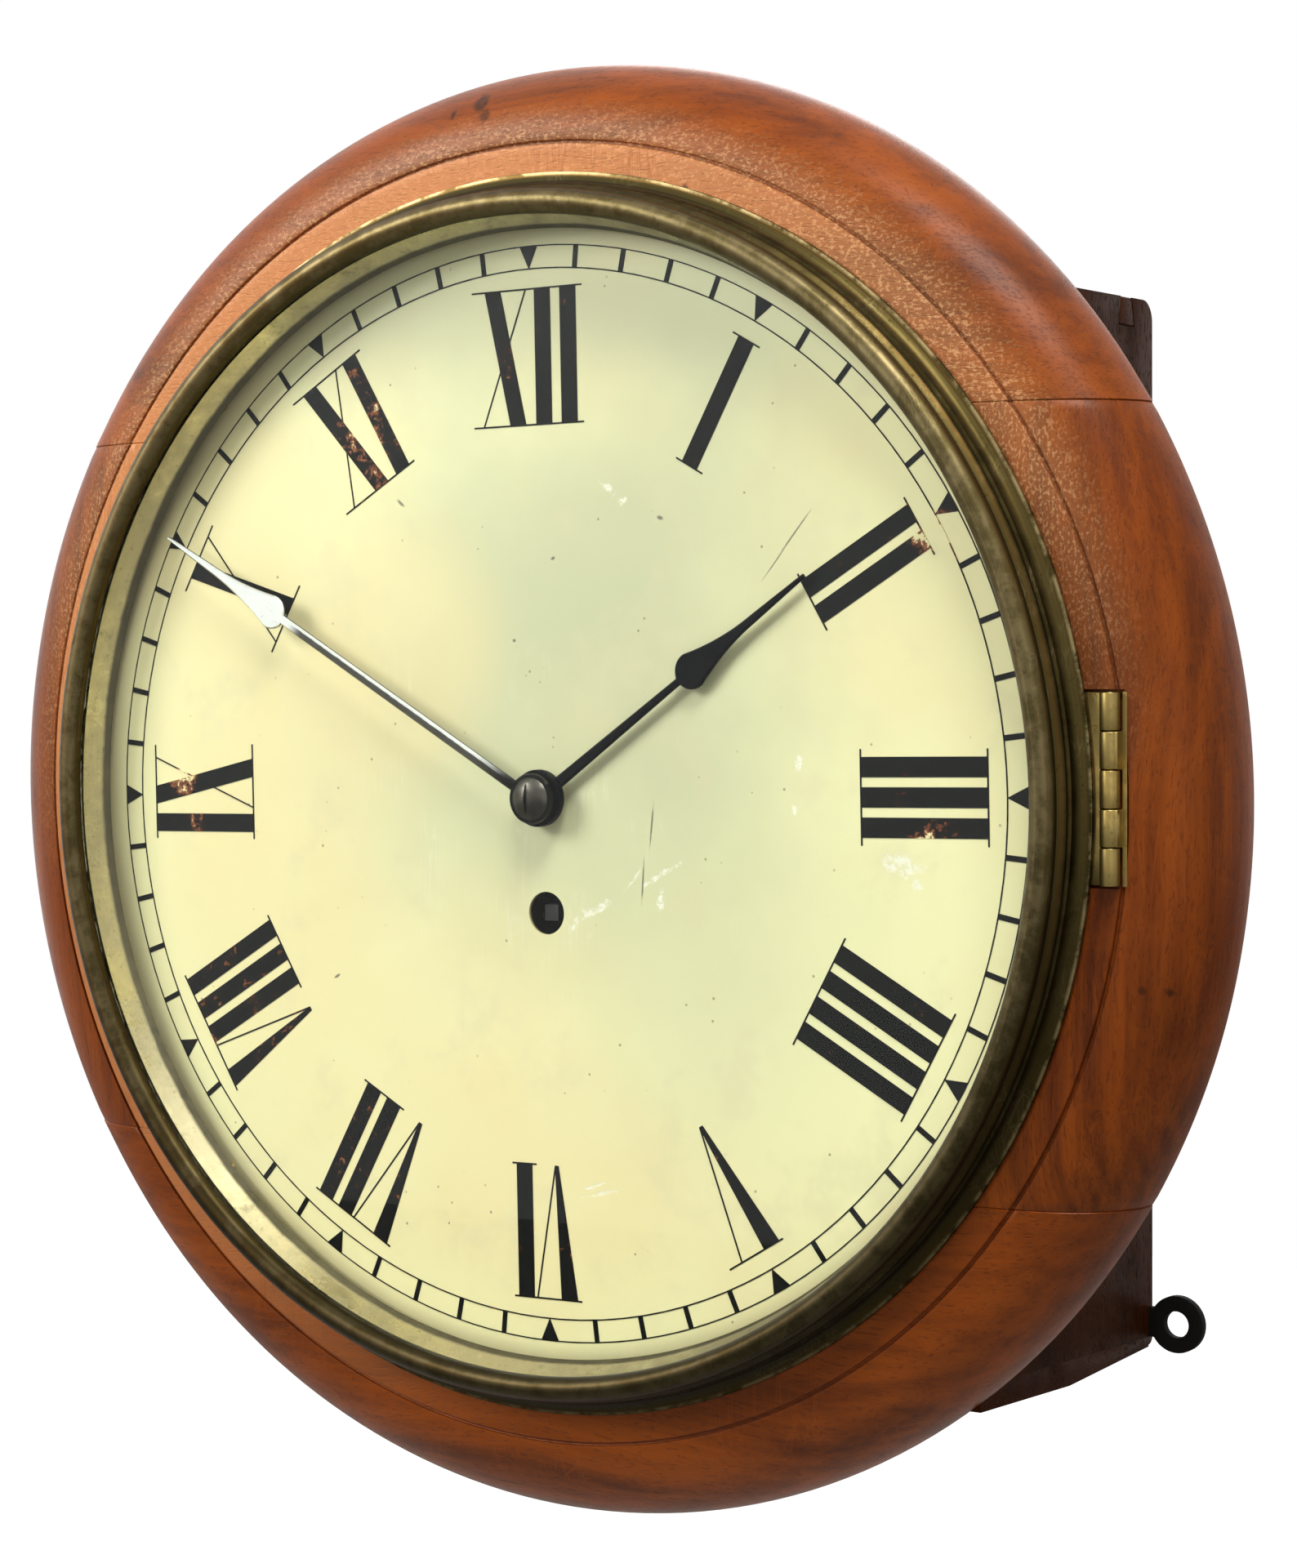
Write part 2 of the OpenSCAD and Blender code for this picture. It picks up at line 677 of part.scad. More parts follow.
module button_shape() difference() {
    union() {
        block(-button_length / 2 + 3, button_length / 2 - 3, -button_width / 2,
            button_width / 2, 0, button_thickness);
        flip_x() translate([button_length / 2 - button_width / 2, 0, 0])
            disc(button_width / 2, 0, button_thickness);
    }
    disc(1.5 + pivot_clearance, -1, button_thickness + 1);
}
module side_button() color(yellow) clock()
    translate([box_half + body_gap, side_button_y, button_z]) rotate([90, 0, 90]) button_shape();
module bottom_button() color(yellow) clock()
    translate([0, -box_drop - body_gap, button_z]) rotate([90, 0, 0]) button_shape();

// Bezel
module bezel() color(gilt) clock() {
    rotate_extrude() translate([0, dial_height]) difference() {
        union() {
            difference() {
                polygon([[bezel_r, flat_rise + body_gap], [flange_r, flat_rise + body_gap],
                    [flange_r, flat_rise + body_gap + flange_thickness],
                    [bezel_r + 5.8, 8], [bezel_r + 3.7, 11.4],
                    [bezel_r + 3.7, roll_height], [bezel_r, roll_height]]);
                translate([bezel_r + 9.8, 8]) circle(4);
            }
            translate([bezel_r + 3.9, 9.2]) circle(1.5);
            translate([bead_r, roll_height]) circle(roll_bead);
        }
        translate([bezel_r - 10, 0]) square([10, roll_height - 0.7]);
    }
    difference() {
        block(-hook_x - 0.6, -hook_x + 0.6, -hook_half, hook_half, box_depth - 6, flange_z);
        block(-hook_x - 2, -hook_x + 2, -catch_half - 0.4, catch_half + 0.4,
            catch_z1 - 2.4, catch_z1 + 0.4);
    }
}
module sight_ring() color(gilt) clock() rotate_extrude() {
    polygon([[sight_radius, dial_height + 2.7], [sight_radius + sight_sheet, dial_height + 2.7],
        [sight_radius + 3.1 + sight_sheet, glass_z0], [sight_radius + 3.1, glass_z0]]);
    polygon([[sight_radius, dial_height + 2.7], [bezel_r, dial_height + 2.7],
        [bezel_r, dial_height + 3.3], [sight_radius, dial_height + 3.3]]);
}
module glass() color("#dfe8e6", 0.35) clock() disc(bezel_r - 0.2, glass_z0, glass_z1);
module knuckles(which, r)
    for (i = which) translate([0, (i - 2.5) * knuckle, 0]) bar_y(r, 0.15, knuckle - 0.15);
module bezel_leaf() color(gilt) clock() translate([hinge_x, hinge_rise, hinge_z]) difference() {
    union() {
        knuckles([0, 2, 4], barrel_radius);
        for (i = [0, 2, 4])
            block(-barrel_radius - 2, 0, (i - 2.5) * knuckle + 0.15, (i - 1.5) * knuckle - 0.15,
                -0.4 - leaf_thickness, -0.4);
        block(-9, -barrel_radius - body_gap, -hinge_length / 2 + 0.15, hinge_length / 2 - 0.15,
            -0.4 - leaf_thickness, -0.4);
    }
    bar_y(hinge_pin + pivot_clearance, -hinge_length, hinge_length);
}
module bezel_hinge() color(gilt) clock() translate([hinge_x, hinge_rise, hinge_z]) {
    knuckles([1, 3], barrel_radius);
    bar_y(hinge_pin, -hinge_length / 2, hinge_length / 2);
    for (i = [1, 3])
        block(0, barrel_radius + body_gap + leaf_thickness, (i - 2.5) * knuckle + 0.15,
            (i - 1.5) * knuckle - 0.15, -1.3, 1.3);
    block(barrel_radius + body_gap, barrel_radius + body_gap + leaf_thickness,
        -hinge_length / 2, hinge_length / 2, -13, 1.3);
}
module bezel_catch() color(yellow) clock() {
    difference() {
        block(-hook_x + 3.1, 3 - knob_x, -catch_half, catch_half, catch_z1 - 2, catch_z1);
        for (x = catch_screws)
            block(-x - 1.5, -x + 1.5 + catch_stroke, -1.5, 1.5, catch_z1 - 3, catch_z1 + 1);
    }
    translate([-knob_x, 0, 0]) disc(2.5, catch_z1 - 9, catch_z1 - 1);
}

// Dial and its figures
module dial() color(paint) clock() {
    difference() {
        disc(dial_radius, dial_back, dial_height);
        for (a = screw_angles) rotate(a) translate([screw_r, 0, 0])
            disc(1.2, dial_back - 1, dial_height + 1);
        translate([works_x, works_y, 0]) disc(dial_centre_hole, dial_back - 1, dial_height + 1);
        translate([works_x, works_y + fusee_y, 0])
            disc(winding_hole, dial_back - 1, dial_height + 1);
    }
    translate([works_x, works_y, 0]) for (x = foot_xs, y = foot_ys) translate([x, y, 0])
        difference() {
            disc(foot_radius, front_z0 - 6, dial_back);
            translate([0, 0, front_z0 - taper_pin - 0.2]) bar_x(taper_pin, -6, 6);
        }
}
// A numeral's stroke from u0 at its foot to u1 at its head
module stroke(u0, u1, w0, w1)
    polygon([[u0 - w0 / 2, numeral_inner], [u0 + w0 / 2, numeral_inner],
        [u1 + w1 / 2, numeral_outer], [u1 - w1 / 2, numeral_outer]]);
module one(u) stroke(u, u, thick_stroke, thick_stroke);
module five(u) {
    stroke(u, u - 3.5, 1.2, thick_stroke + 0.2);
    stroke(u + 0.4, u + 7.1, thin_stroke, thin_stroke);
}
module ten(u) {
    stroke(u + 3.9, u - 3.9, thick_stroke, thick_stroke);
    stroke(u - 7.5, u + 7, thin_stroke, thin_stroke);
}
module serifs(u0, u1) for (v = [numeral_inner - thin_stroke / 2, numeral_outer - thin_stroke / 2])
    translate([u0, v]) square([u1 - u0, thin_stroke]);
module numeral(hour) {
    p = stroke_pitch;
    side = 4 + thick_stroke / 2 - 2.6;
    if (hour < 5) {
        for (i = [0 : hour - 1]) one((i - (hour - 1) / 2) * p);
        serifs(-(hour - 1) / 2 * p - side - 0.6, (hour - 1) / 2 * p + side + 0.6);
    } else if (hour < 9) {
        n = hour - 5;
        u = [0.3, -3.3, -8.7, -12][n];
        five(u);
        if (n > 0) for (i = [1 : n]) one(u + 3 + i * p);
        translate([0, 0]) {
            translate([u - 7.5, numeral_outer - thin_stroke / 2])
                square([(n > 0 ? 7.5 + n * p + 7 : 19), thin_stroke]);
            if (n > 0) translate([u + p - 1, numeral_inner - thin_stroke / 2])
                square([(n - 1) * p + 8, thin_stroke]);
        }
    } else {
        n = hour - 10;
        u = [3.9, 0, -5.3, -8.3][hour - 9];
        ten(u);
        if (n < 0) one(u - 11.9);
        if (n > 0) for (i = [1 : n]) one(u + 4.1 + i * (p + 0.6));
        serifs(n < 0 ? u - 16.5 : u - 10.8, n > 0 ? u + 4.1 + n * (p + 0.6) + 4.6 : u + 10.6);
    }
}
module dial_figures() color(blued) clock() rotate(dial_turn) translate([0, 0, dial_height])
    linear_extrude(paint_thickness) {
        for (r = [minute_outer, minute_inner + ring_line_width]) difference() {
            circle(r);
            circle(r - ring_line_width);
        }
        for (m = [0 : 59]) rotate(-6 * m)
            if (m % 5 == 0)
                polygon([[0, minute_inner + 0.1],
                    [hour_mark_width / 2, minute_outer - ring_line_width / 2],
                    [-hour_mark_width / 2, minute_outer - ring_line_width / 2]]);
            else
                translate([-minute_bar_width / 2, minute_inner + 0.1])
                    square([minute_bar_width, minute_ring_width - 0.2]);
        for (h = [1 : 12]) rotate(-30 * h) numeral(h);
    }

// Movement frame
module frame_holes(z0, z1) {
    for (x = pillar_xs, y = pillar_ys) translate([x, y, 0]) disc(pillar_end, z0, z1);
    disc(centre_arbor_radius + pivot_clearance, z0, z1);
    translate([0, fusee_y, 0]) disc(winding_radius + pivot_clearance, z0, z1);
    translate([third_p[0], third_p[1], 0]) disc(small_pivot + pivot_clearance, z0, z1);
    translate([0, escape_y, 0]) disc(small_pivot + pivot_clearance, z0, z1);
    translate([barrel_p[0], barrel_p[1], 0])
        disc(barrel_arbor_radius + pivot_clearance, z0, z1);
}
module plate(z0, z1)
    block(-plate_left, plate_right, -plate_bottom, plate_top, z0, z1);
module front_plate() color(yellow) works() {
    difference() {
        plate(front_z0, front_z1);
        frame_holes(front_z0 - 1, front_z1 + 1);
        translate([0, pallet_y, 0])
            disc(small_pivot + pivot_clearance, front_z0 - 1, front_z1 + 1);
        for (x = foot_xs, y = foot_ys) translate([x, y, 0])
            disc(foot_radius, front_z0 - 1, front_z1 + 1);
    }
    translate([stud_p[0], stud_p[1], 0]) disc(0.8, front_z1 - 1, front_z1 + 11.4);
    translate([barrel_p[0], barrel_p[1], 0]) rotate(-60)
        translate([0, setup_radius + 5, 0]) disc(click_pin, front_z1 - 1, front_z1 + 2.6);
    for (x = [-17.5, -11.2]) block(x, x + 2, 1.5, 6.5, front_z0 - 5.6, front_z0);
    translate([0, 4, front_z0 - 3.3]) bar_x(1, -17.5, -9.2);
}
module back_plate() color(yellow) works() difference() {
    plate(back_z0, back_z1);
    frame_holes(back_z0 - 1, back_z1 + 1);
    translate([0, pallet_y, 0]) disc(3, back_z0 - 1, back_z1 + 1);
}
module plate_pillars() color(yellow) works() for (x = pillar_xs, y = pillar_ys)
    translate([x, y, 0]) difference() {
        union() {
            disc(pillar_radius, back_z1, front_z0);
            disc(pillar_radius + 1.3, back_z1, back_z1 + 2);
            disc(pillar_radius + 1.3, front_z0 - 2, front_z0);
            disc(pillar_end, back_z0, front_z1 + 3.5);
        }
        translate([0, 0, front_z1 + taper_pin + 0.2]) bar_x(taper_pin, -6, 6);
    }
module taper_pins() color(steel) works() {
    for (x = pillar_xs, y = pillar_ys) translate([x, y, front_z1 + taper_pin + 0.2])
        bar_x(taper_pin, -6, 6);
    for (x = foot_xs, y = foot_ys) translate([x, y, front_z0 - taper_pin - 0.2])
        bar_x(taper_pin, -6, 6);
}

// Toothed wheels. A wheel and its pinion have a tooth centred on the angle they are given.
module tooth_ring(n, m, root, flank, tip, low, high, phase) polygon([
    for (k = [0 : n - 1], p = [[low, -root], [0, -flank], [high, -tip], [high, tip], [0, flank],
        [low, root]])
        (n * m / 2 + p[0] * m) * [cos(phase + (k + p[1]) * 360 / n),
            sin(phase + (k + p[1]) * 360 / n)]]);
module wheel2d(n, m, phase) tooth_ring(n, m, 0.26, 0.18, 0.04, -0.8, 0.7, phase);
module pinion2d(n, m, phase) tooth_ring(n, m, 0.14, 0.14, 0.06, -1.2, 0.3, phase);
module saw2d(n, r, depth, phase) polygon([
    for (k = [0 : n - 1], p = [[r - depth, 0], [r, 0.06], [r - depth * 0.2, 0.3]])
        p[0] * [cos(phase + (k + p[1]) * 360 / n), sin(phase + (k + p[1]) * 360 / n)]]);
module slab(z0, z1) translate([0, 0, z0]) linear_extrude(z1 - z0) children();
// Openings that leave a rim, a hub and arms
module crossings(rim, hub, arms, width, z0, z1) difference() {
    disc(rim, z0 - 1, z1 + 1);
    disc(hub, z0 - 2, z1 + 2);
    for (i = [0 : arms - 1]) rotate(i * 360 / arms)
        block(0, rim + 1, -width / 2, width / 2, z0 - 2, z1 + 2);
}

// Barrel and fusee
module at_barrel() works() translate([barrel_p[0], barrel_p[1], 0]) children();
module at_fusee() works() translate([0, fusee_y, 0]) children();
module barrel() color(yellow) at_barrel() difference() {
    disc(barrel_size, barrel_z0, barrel_z1 - 1.6);
    disc(barrel_size - barrel_wall, barrel_z0 + barrel_wall, barrel_z1);
    disc(barrel_arbor_radius + pivot_clearance, barrel_z0 - 1, barrel_z1);
}
module barrel_cap() color(yellow) at_barrel() difference() {
    disc(barrel_size, barrel_z1 - 1.6, barrel_z1);
    disc(barrel_arbor_radius + pivot_clearance, barrel_z0, barrel_z1 + 1);
}
module barrel_arbor() color(steel) at_barrel() {
    disc(barrel_arbor_radius, back_z0, front_z1 + 2.3);
    disc(barrel_body, barrel_z0 + barrel_wall + 0.5, barrel_z1 - 2.1);
    slab(front_z1 + body_gap, front_z1 + body_gap + ratchet_thick)
        saw2d(ratchet_teeth, setup_radius, 1.4, 0);
    block(-2.1, 2.1, -2.1, 2.1, front_z1 + 2, front_z1 + 7);
}
module click2d(r) polygon([(r + 0.35) * [-sin(35), cos(35)], (r + 2.2) * [-sin(38), cos(38)],
    [-1.5, r + 7.2], [1.5, r + 7.2], [2.3, r + 5], [1.2, r + 3], [-1.2, r + 3]]);
module setup_click() color(steel) at_barrel() rotate(-60) difference() {
    slab(front_z1 + body_gap, front_z1 + body_gap + ratchet_thick) click2d(setup_radius);
    translate([0, setup_radius + 5, 0])
        disc(click_pin + pivot_clearance, front_z1, front_z1 + 9);
}
module mainspring() color(steel) at_barrel() {
    r0 = barrel_body + 1.8;
    r1 = barrel_size - barrel_wall - 1;
    n = spring_turns * 12;
    slab(barrel_z0 + barrel_wall + 1.5, barrel_z1 - 3.2) polygon(concat(
        [for (i = [0 : n]) (r0 + (r1 - r0) * i / n) * [cos(30 * i), sin(30 * i)]],
        [for (i = [n : -1 : 0]) (r0 + 0.6 + (r1 - r0) * i / n) * [cos(30 * i), sin(30 * i)]]));
}
function groove_z(i) = fusee_end - 0.55 - (i + 0.5) * fusee_pitch;
function fusee_r(z) = fusee_large - (fusee_large - fusee_small) * (z - fusee_z) / fusee_length;
module fusee() color(yellow) at_fusee() difference() {
    union() {
        rotate_extrude() difference() {
            polygon([[0, fusee_z], [fusee_large, fusee_z], [fusee_small, fusee_end],
                [0, fusee_end]]);
            for (i = [0 : fusee_grooves - 1])
                translate([fusee_r(groove_z(i)) + 0.15, groove_z(i)]) circle(line_groove);
        }
        disc(fusee_small + 1, fusee_end, fusee_end + 1.2);
        block(0, 13.8, -2.5, 2.5, fusee_end, fusee_end + 2.2);
    }
    disc(winding_radius, fusee_z - 1, fusee_end + 9);
}
module fusee_arbor() color(steel) at_fusee() {
    disc(winding_radius, back_z0, front_z1 + 2);
    slab(ratchet_z, ratchet_z + ratchet_thick) saw2d(ratchet_teeth, ratchet_radius, 1.6, 0);
    block(-winding_square / 2, winding_square / 2, -winding_square / 2, winding_square / 2,
        front_z1 + 1, dial_height - square_inset);
}
module fusee_click() color(steel) at_fusee() difference() {
    slab(ratchet_z, ratchet_z + ratchet_thick) click2d(ratchet_radius);
    translate([0, ratchet_radius + 5, 0])
        disc(click_pin + pivot_clearance, ratchet_z - 1, ratchet_z + 9);
}
module great_wheel() color(yellow) at_fusee() {
    difference() {
        slab(great_z, great_z + great_thick) wheel2d(great_teeth, great_module, 90);
        disc(winding_radius + pivot_clearance, great_z - 1, great_z + 9);
    }
    translate([0, ratchet_radius + 5, 0])
        disc(click_pin, great_z + 1, ratchet_z + ratchet_thick);
}
module stop_iron() color(steel) works() difference() {
    union() {
        block(-15.2, -11.5, -22, 4, front_z0 - 4, front_z0 - 2.6);
        translate([0, 4, front_z0 - 3.3]) bar_x(2, -15.2, -11.5);
    }
    translate([0, 4, front_z0 - 3.3]) bar_x(1 + pivot_clearance, -20, -5);
}
module ring_of_line(r, z) translate([0, 0, z]) rotate_extrude()
    translate([r, 0]) circle(line_radius);
module fusee_line() color("#a08a58") works() {
    half = fusee_grooves / 2;
    barrel_line = barrel_size + line_radius + pivot_clearance;
    zm = groove_z(half);
    rf = fusee_r(zm) + 0.15;
    for (i = [half : fusee_grooves - 1]) translate([0, fusee_y, 0])
        ring_of_line(fusee_r(groove_z(i)) + 0.15, groove_z(i));
    for (i = [1 : half]) translate([barrel_p[0], barrel_p[1], 0])
        ring_of_line(barrel_line, zm + (i - 1) * (fusee_pitch + 0.05));
    run = [0, fusee_y] - barrel_p;
    lean = acos((barrel_line - rf) / norm(run));
    turn = atan2(run[1], run[0]) + lean;
    side = [cos(turn), sin(turn)];
    a = barrel_p + barrel_line * side;
    b = [0, fusee_y] + rf * side;
    translate([a[0], a[1], zm]) rotate(atan2(b[1] - a[1], b[0] - a[0]))
        bar_x(line_radius, 0, norm(b - a));
}

// Going train
module centre_wheel() color(yellow) works() {
    difference() {
        slab(centre_z, centre_z + wheel_thickness) wheel2d(train_teeth, centre_module, third_angle);
        crossings(train_teeth * centre_module / 2 - 3, 5, 4, 2.6, centre_z,
            centre_z + wheel_thickness);
    }
    disc(centre_arbor_radius, back_z0, arbor_end);
    disc(3.2, centre_z, great_z - 1.2);
    slab(great_z - 1.2, great_z + 4) pinion2d(centre_leaves, great_module,
        270 + 180 / centre_leaves);
}
module third_wheel() color(yellow) works() translate([third_p[0], third_p[1], 0]) {
    difference() {
        slab(third_z, third_z + wheel_thickness) wheel2d(train_teeth, third_module, escape_line);
        crossings(train_teeth * third_module / 2 - 2.7, 4.4, 4, 2.4, third_z,
            third_z + wheel_thickness);
    }
    disc(small_pivot, back_z0, front_z1);
    disc(small_arbor, back_z1 + 0.4, front_z0 - 0.4);
    disc(2.6, third_z - 1.5, third_z);
    slab(back_z1 + 0.5, back_z1 + 3.4) pinion2d(train_leaves, centre_module,
        third_angle + 180 + 180 / train_leaves);
}
module escape_wheel() color(yellow) works() translate([0, escape_y, 0]) {
    difference() {
        slab(escape_z, escape_z + wheel_thickness) polygon([
            for (k = [0 : escape_teeth - 1], p = [[escape_radius - 2.8, -2.2],
                [escape_radius, -0.5], [escape_radius, 0.5], [escape_radius - 2.8, 3]])
                p[0] * [cos(k * 360 / escape_teeth + p[1]), sin(k * 360 / escape_teeth + p[1])]]);
        crossings(escape_radius - 4.6, 3.8, 4, 2, escape_z, escape_z + wheel_thickness);
    }
    disc(small_pivot, back_z0, front_z1);
    disc(small_arbor, back_z1 + 0.4, front_z0 - 0.4);
    disc(2.4, escape_z - 1.5, escape_z);
    slab(third_z - 1.6, third_z + 3) pinion2d(train_leaves, third_module,
        escape_line + 180 + 180 / train_leaves);
}
module pallets() color(steel) works() {
    nib = escape_radius + pallet_clearance;
    end = [(nib + 5) * sin(45), escape_y + (nib + 5) * cos(45)];
    slab(escape_z - 0.25, escape_z + wheel_thickness + 0.25) {
        translate([0, escape_y]) for (s = [-1, 1]) rotate(s * 45)
            translate([-0.4, nib]) square([0.8, 6.2]);
        for (s = [-1, 1]) link([0, pallet_y], [s * end[0], end[1]], 2.6);
        translate([0, pallet_y]) circle(3.6);
    }
    translate([0, pallet_y, 0]) {
        disc(small_pivot, cock_z0, front_z1);
        disc(small_arbor, cock_z1 + 0.4, front_z0 - 0.4);
    }
}
module crutch() color(steel) works() translate([0, pallet_y, 0]) difference() {
    union() {
        disc(3, cock_z1 + 1.2, cock_z1 + 4);
        block(-1.4, 1.4, -crutch_length, 0, cock_z1 + 1.2, cock_z1 + 3);
        block(-rod_radius - 1.6, rod_radius + 1.6, -crutch_length - 4, -crutch_length,
            rod_z + rod_radius + 1, cock_z1 + 3);
        flip_x() block(rod_radius + 0.4, rod_radius + 1.6, -crutch_length - 4, -crutch_length,
            rod_z - 3, cock_z1 + 3);
    }
    disc(small_arbor, 0, front_z1);
}
module back_cock() color(yellow) works() translate([0, pallet_y, 0]) {
    difference() {
        block(-18, 18, -8, 14, cock_z0, cock_z1);
        disc(small_pivot + pivot_clearance, cock_z0 - 1, cock_z1 + 1);
    }
    flip_x() translate([14.5, 9, 0]) disc(3, cock_z1, back_z0);
    difference() {
        block(-4, 4, 5, 13, rod_z - 3, cock_z0);
        block(-0.1, 0.1, 0, 20, rod_z - 9, cock_z0 + 1);
    }
}
module suspension_spring() color(steel) works() translate([0, pallet_y, 0])
    block(-0.1, 0.1, -6, 12, rod_z - spring_width / 2, rod_z + spring_width / 2);

// Pendulum
module pendulum_rod() color(steel) works() {
    bar_y_at(rod_radius, rod_end, pallet_y - 14);
    translate([0, pallet_y, 0]) difference() {
        block(-3, 3, -14.5, -3, rod_z - 3, rod_z + 3);
        block(-0.75, 0.75, -7, 0, rod_z - 9, rod_z + 9);
    }
}
module bar_y_at(r, y0, y1) translate([0, 0, rod_z]) bar_y(r, y0, y1);
module pendulum_bob() color(yellow) works() difference() {
    sag = bob_thickness / 2 - 1;
    lens = (pow(bob_radius, 2) + pow(sag, 2)) / (2 * sag);
    translate([0, bob_y, rod_z]) rotate_extrude() intersection() {
        translate([0, bob_thickness / 2 - lens]) circle(lens);
        translate([0, lens - bob_thickness / 2]) circle(lens);
        translate([0, -bob_thickness]) square([bob_radius, 2 * bob_thickness]);
    }
    bar_y_at(rod_radius + pivot_clearance, bob_y - bob_radius - 9, bob_y + bob_radius + 9);
}
module rating_nut() color(yellow) works() difference() {
    bar_y_at(nut_radius, nut_top - nut_height, nut_top);
    bar_y_at(rod_radius + pivot_clearance, rod_end - 9, nut_top + 9);
}

// Motion work and hands
module cannon_wheel() color(yellow) works() difference() {
    union() {
        slab(cannon_z, cannon_z + 2.5) wheel2d(minute_teeth, minute_module, stud_angle);
        disc(cannon_pipe, cannon_z, minute_boss_top);
    }
    disc(centre_arbor_radius, cannon_z - 1, minute_boss_top + 1);
}
module minute_wheel() color(yellow) works() translate([stud_p[0], stud_p[1], 0]) difference() {
    union() {
        slab(cannon_z, cannon_z + 2.5) wheel2d(minute_teeth, minute_module,
            stud_angle + 180 + 180 / minute_teeth);
        slab(cannon_z + 2.5, hour_z + 2.5) pinion2d(minute_leaves, hour_module,
            stud_angle + 180 + 180 / minute_leaves);
    }
    disc(0.8 + pivot_clearance, cannon_z - 1, hour_z + 9);
}
module hour_wheel() color(yellow) works() difference() {
    union() {
        slab(hour_z, hour_z + 2) wheel2d(hour_teeth, hour_module, stud_angle);
        disc(hour_pipe, hour_z, hour_boss_top - 0.6);
    }
    disc(hour_bore, hour_z - 1, hour_boss_top + 1);
    crossings(hour_teeth * hour_module / 2 - 3.4, 8, 4, 3, hour_z, hour_z + 2);
}
module motion_bridge() color(yellow) works() {
    difference() {
        union() {
            block(-3, 3, -21, 21, bridge_z, bridge_z + 1.5);
            disc(bridge_pipe, bridge_z, dial_height + 1);
        }
        disc(bridge_bore, bridge_z - 1, dial_height + 2);
    }
    for (s = [-1, 1]) block(-3, 3, s * 18 - 3, s * 18 + 3, front_z1, bridge_z);
}
// Outline of a hand pointing along y: a stem, a rounded bulb and a long taper
module hand2d(reach, bulb, bulb_at, neck_at, stem0, stem1, neck, tip) {
    polygon(concat([[stem0, 0], [stem1, bulb_at - bulb]],
        [for (t = [0 : 0.1 : 1]) [neck + (bulb - neck) * pow(1 - t, 2),
            bulb_at + (neck_at - bulb_at) * t]],
        [[tip, reach], [-tip, reach]],
        [for (t = [1 : -0.1 : 0]) [-neck - (bulb - neck) * pow(1 - t, 2),
            bulb_at + (neck_at - bulb_at) * t]],
        [[-stem1, bulb_at - bulb], [-stem0, 0]]));
    translate([0, bulb_at]) circle(bulb);
}
module hour_hand() color(blued) works() difference() {
    union() {
        translate([0, 0, hour_hand_z]) rotate(-hour_angle) linear_extrude(hand_thickness)
            hand2d(hour_reach, hour_bulb, hour_reach * 0.585, hour_reach * 0.808, 1.6, 0.9,
                1.1, 0.5);
        disc(hour_boss, hour_hand_z, hour_boss_top);
    }
    disc(hour_pipe, hour_hand_z - 1, hour_boss_top - 0.6);
    disc(hour_bore, hour_hand_z - 1, hour_boss_top + 1);
}
module minute_hand() color(steel) works() difference() {
    reach = minute_outer - minute_tip_inset;
    union() {
        translate([0, 0, minute_z]) rotate(-minute_angle) linear_extrude(hand_thickness)
            hand2d(reach, minute_bulb, reach * 0.703, reach * 0.876, 1.5, 1.3, 1.1, 0.4);
        disc(minute_boss, minute_z, minute_boss_top);
    }
    disc(cannon_pipe, minute_z - 1, minute_boss_top + 1);
}
module hand_screw() color(yellow) works() {
    dome = 2.2;
    ball = (pow(screw_head, 2) + pow(dome, 2)) / (2 * dome);
    difference() {
        translate([0, 0, minute_boss_top]) rotate_extrude() intersection() {
            translate([0, dome - ball]) circle(ball);
            square([screw_head, dome]);
        }
        block(-0.6, 0.6, -screw_head, screw_head, minute_boss_top + 1.1, minute_boss_top + 9);
    }
    disc(centre_arbor_radius, arbor_end, minute_boss_top);
}

surround_top();
surround_bottom();
surround_left();
surround_right();
case_side_left();
case_side_right();
case_top();
case_bottom();
backboard();
case_blocks();
case_pegs();
wall_fittings();
case_screws();
side_door();
side_door_leaf();
side_button();
bottom_door();
bottom_door_leaf();
bottom_button();
door_hinges();
bezel();
sight_ring();
glass();
bezel_leaf();
bezel_hinge();
bezel_catch();
dial();
dial_figures();
front_plate();
back_plate();
plate_pillars();
taper_pins();
barrel();
barrel_cap();
barrel_arbor();
setup_click();
mainspring();
fusee();
fusee_arbor();
fusee_click();
great_wheel();
stop_iron();
fusee_line();
centre_wheel();
third_wheel();
escape_wheel();
pallets();
crutch();
back_cock();
suspension_spring();
pendulum_rod();
pendulum_bob();
rating_nut();
cannon_wheel();
minute_wheel();
hour_wheel();
motion_bridge();
hour_hand();
minute_hand();
hand_screw();
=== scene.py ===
"""Looks of the fusee dial clock, built around the packed model.

Lengths in the code are millimetres in the clock's own frame: x right, y up and z out from the
wall, with the origin on the wall behind the middle of the dial. at() turns them into the
scene's metres, where the dial faces -y and z is up.
"""
import json
import math

import bmesh
import bpy
import numpy as np
from bpy.props import FloatProperty, FloatVectorProperty, IntProperty, PointerProperty
from mathutils import Matrix, Vector, noise

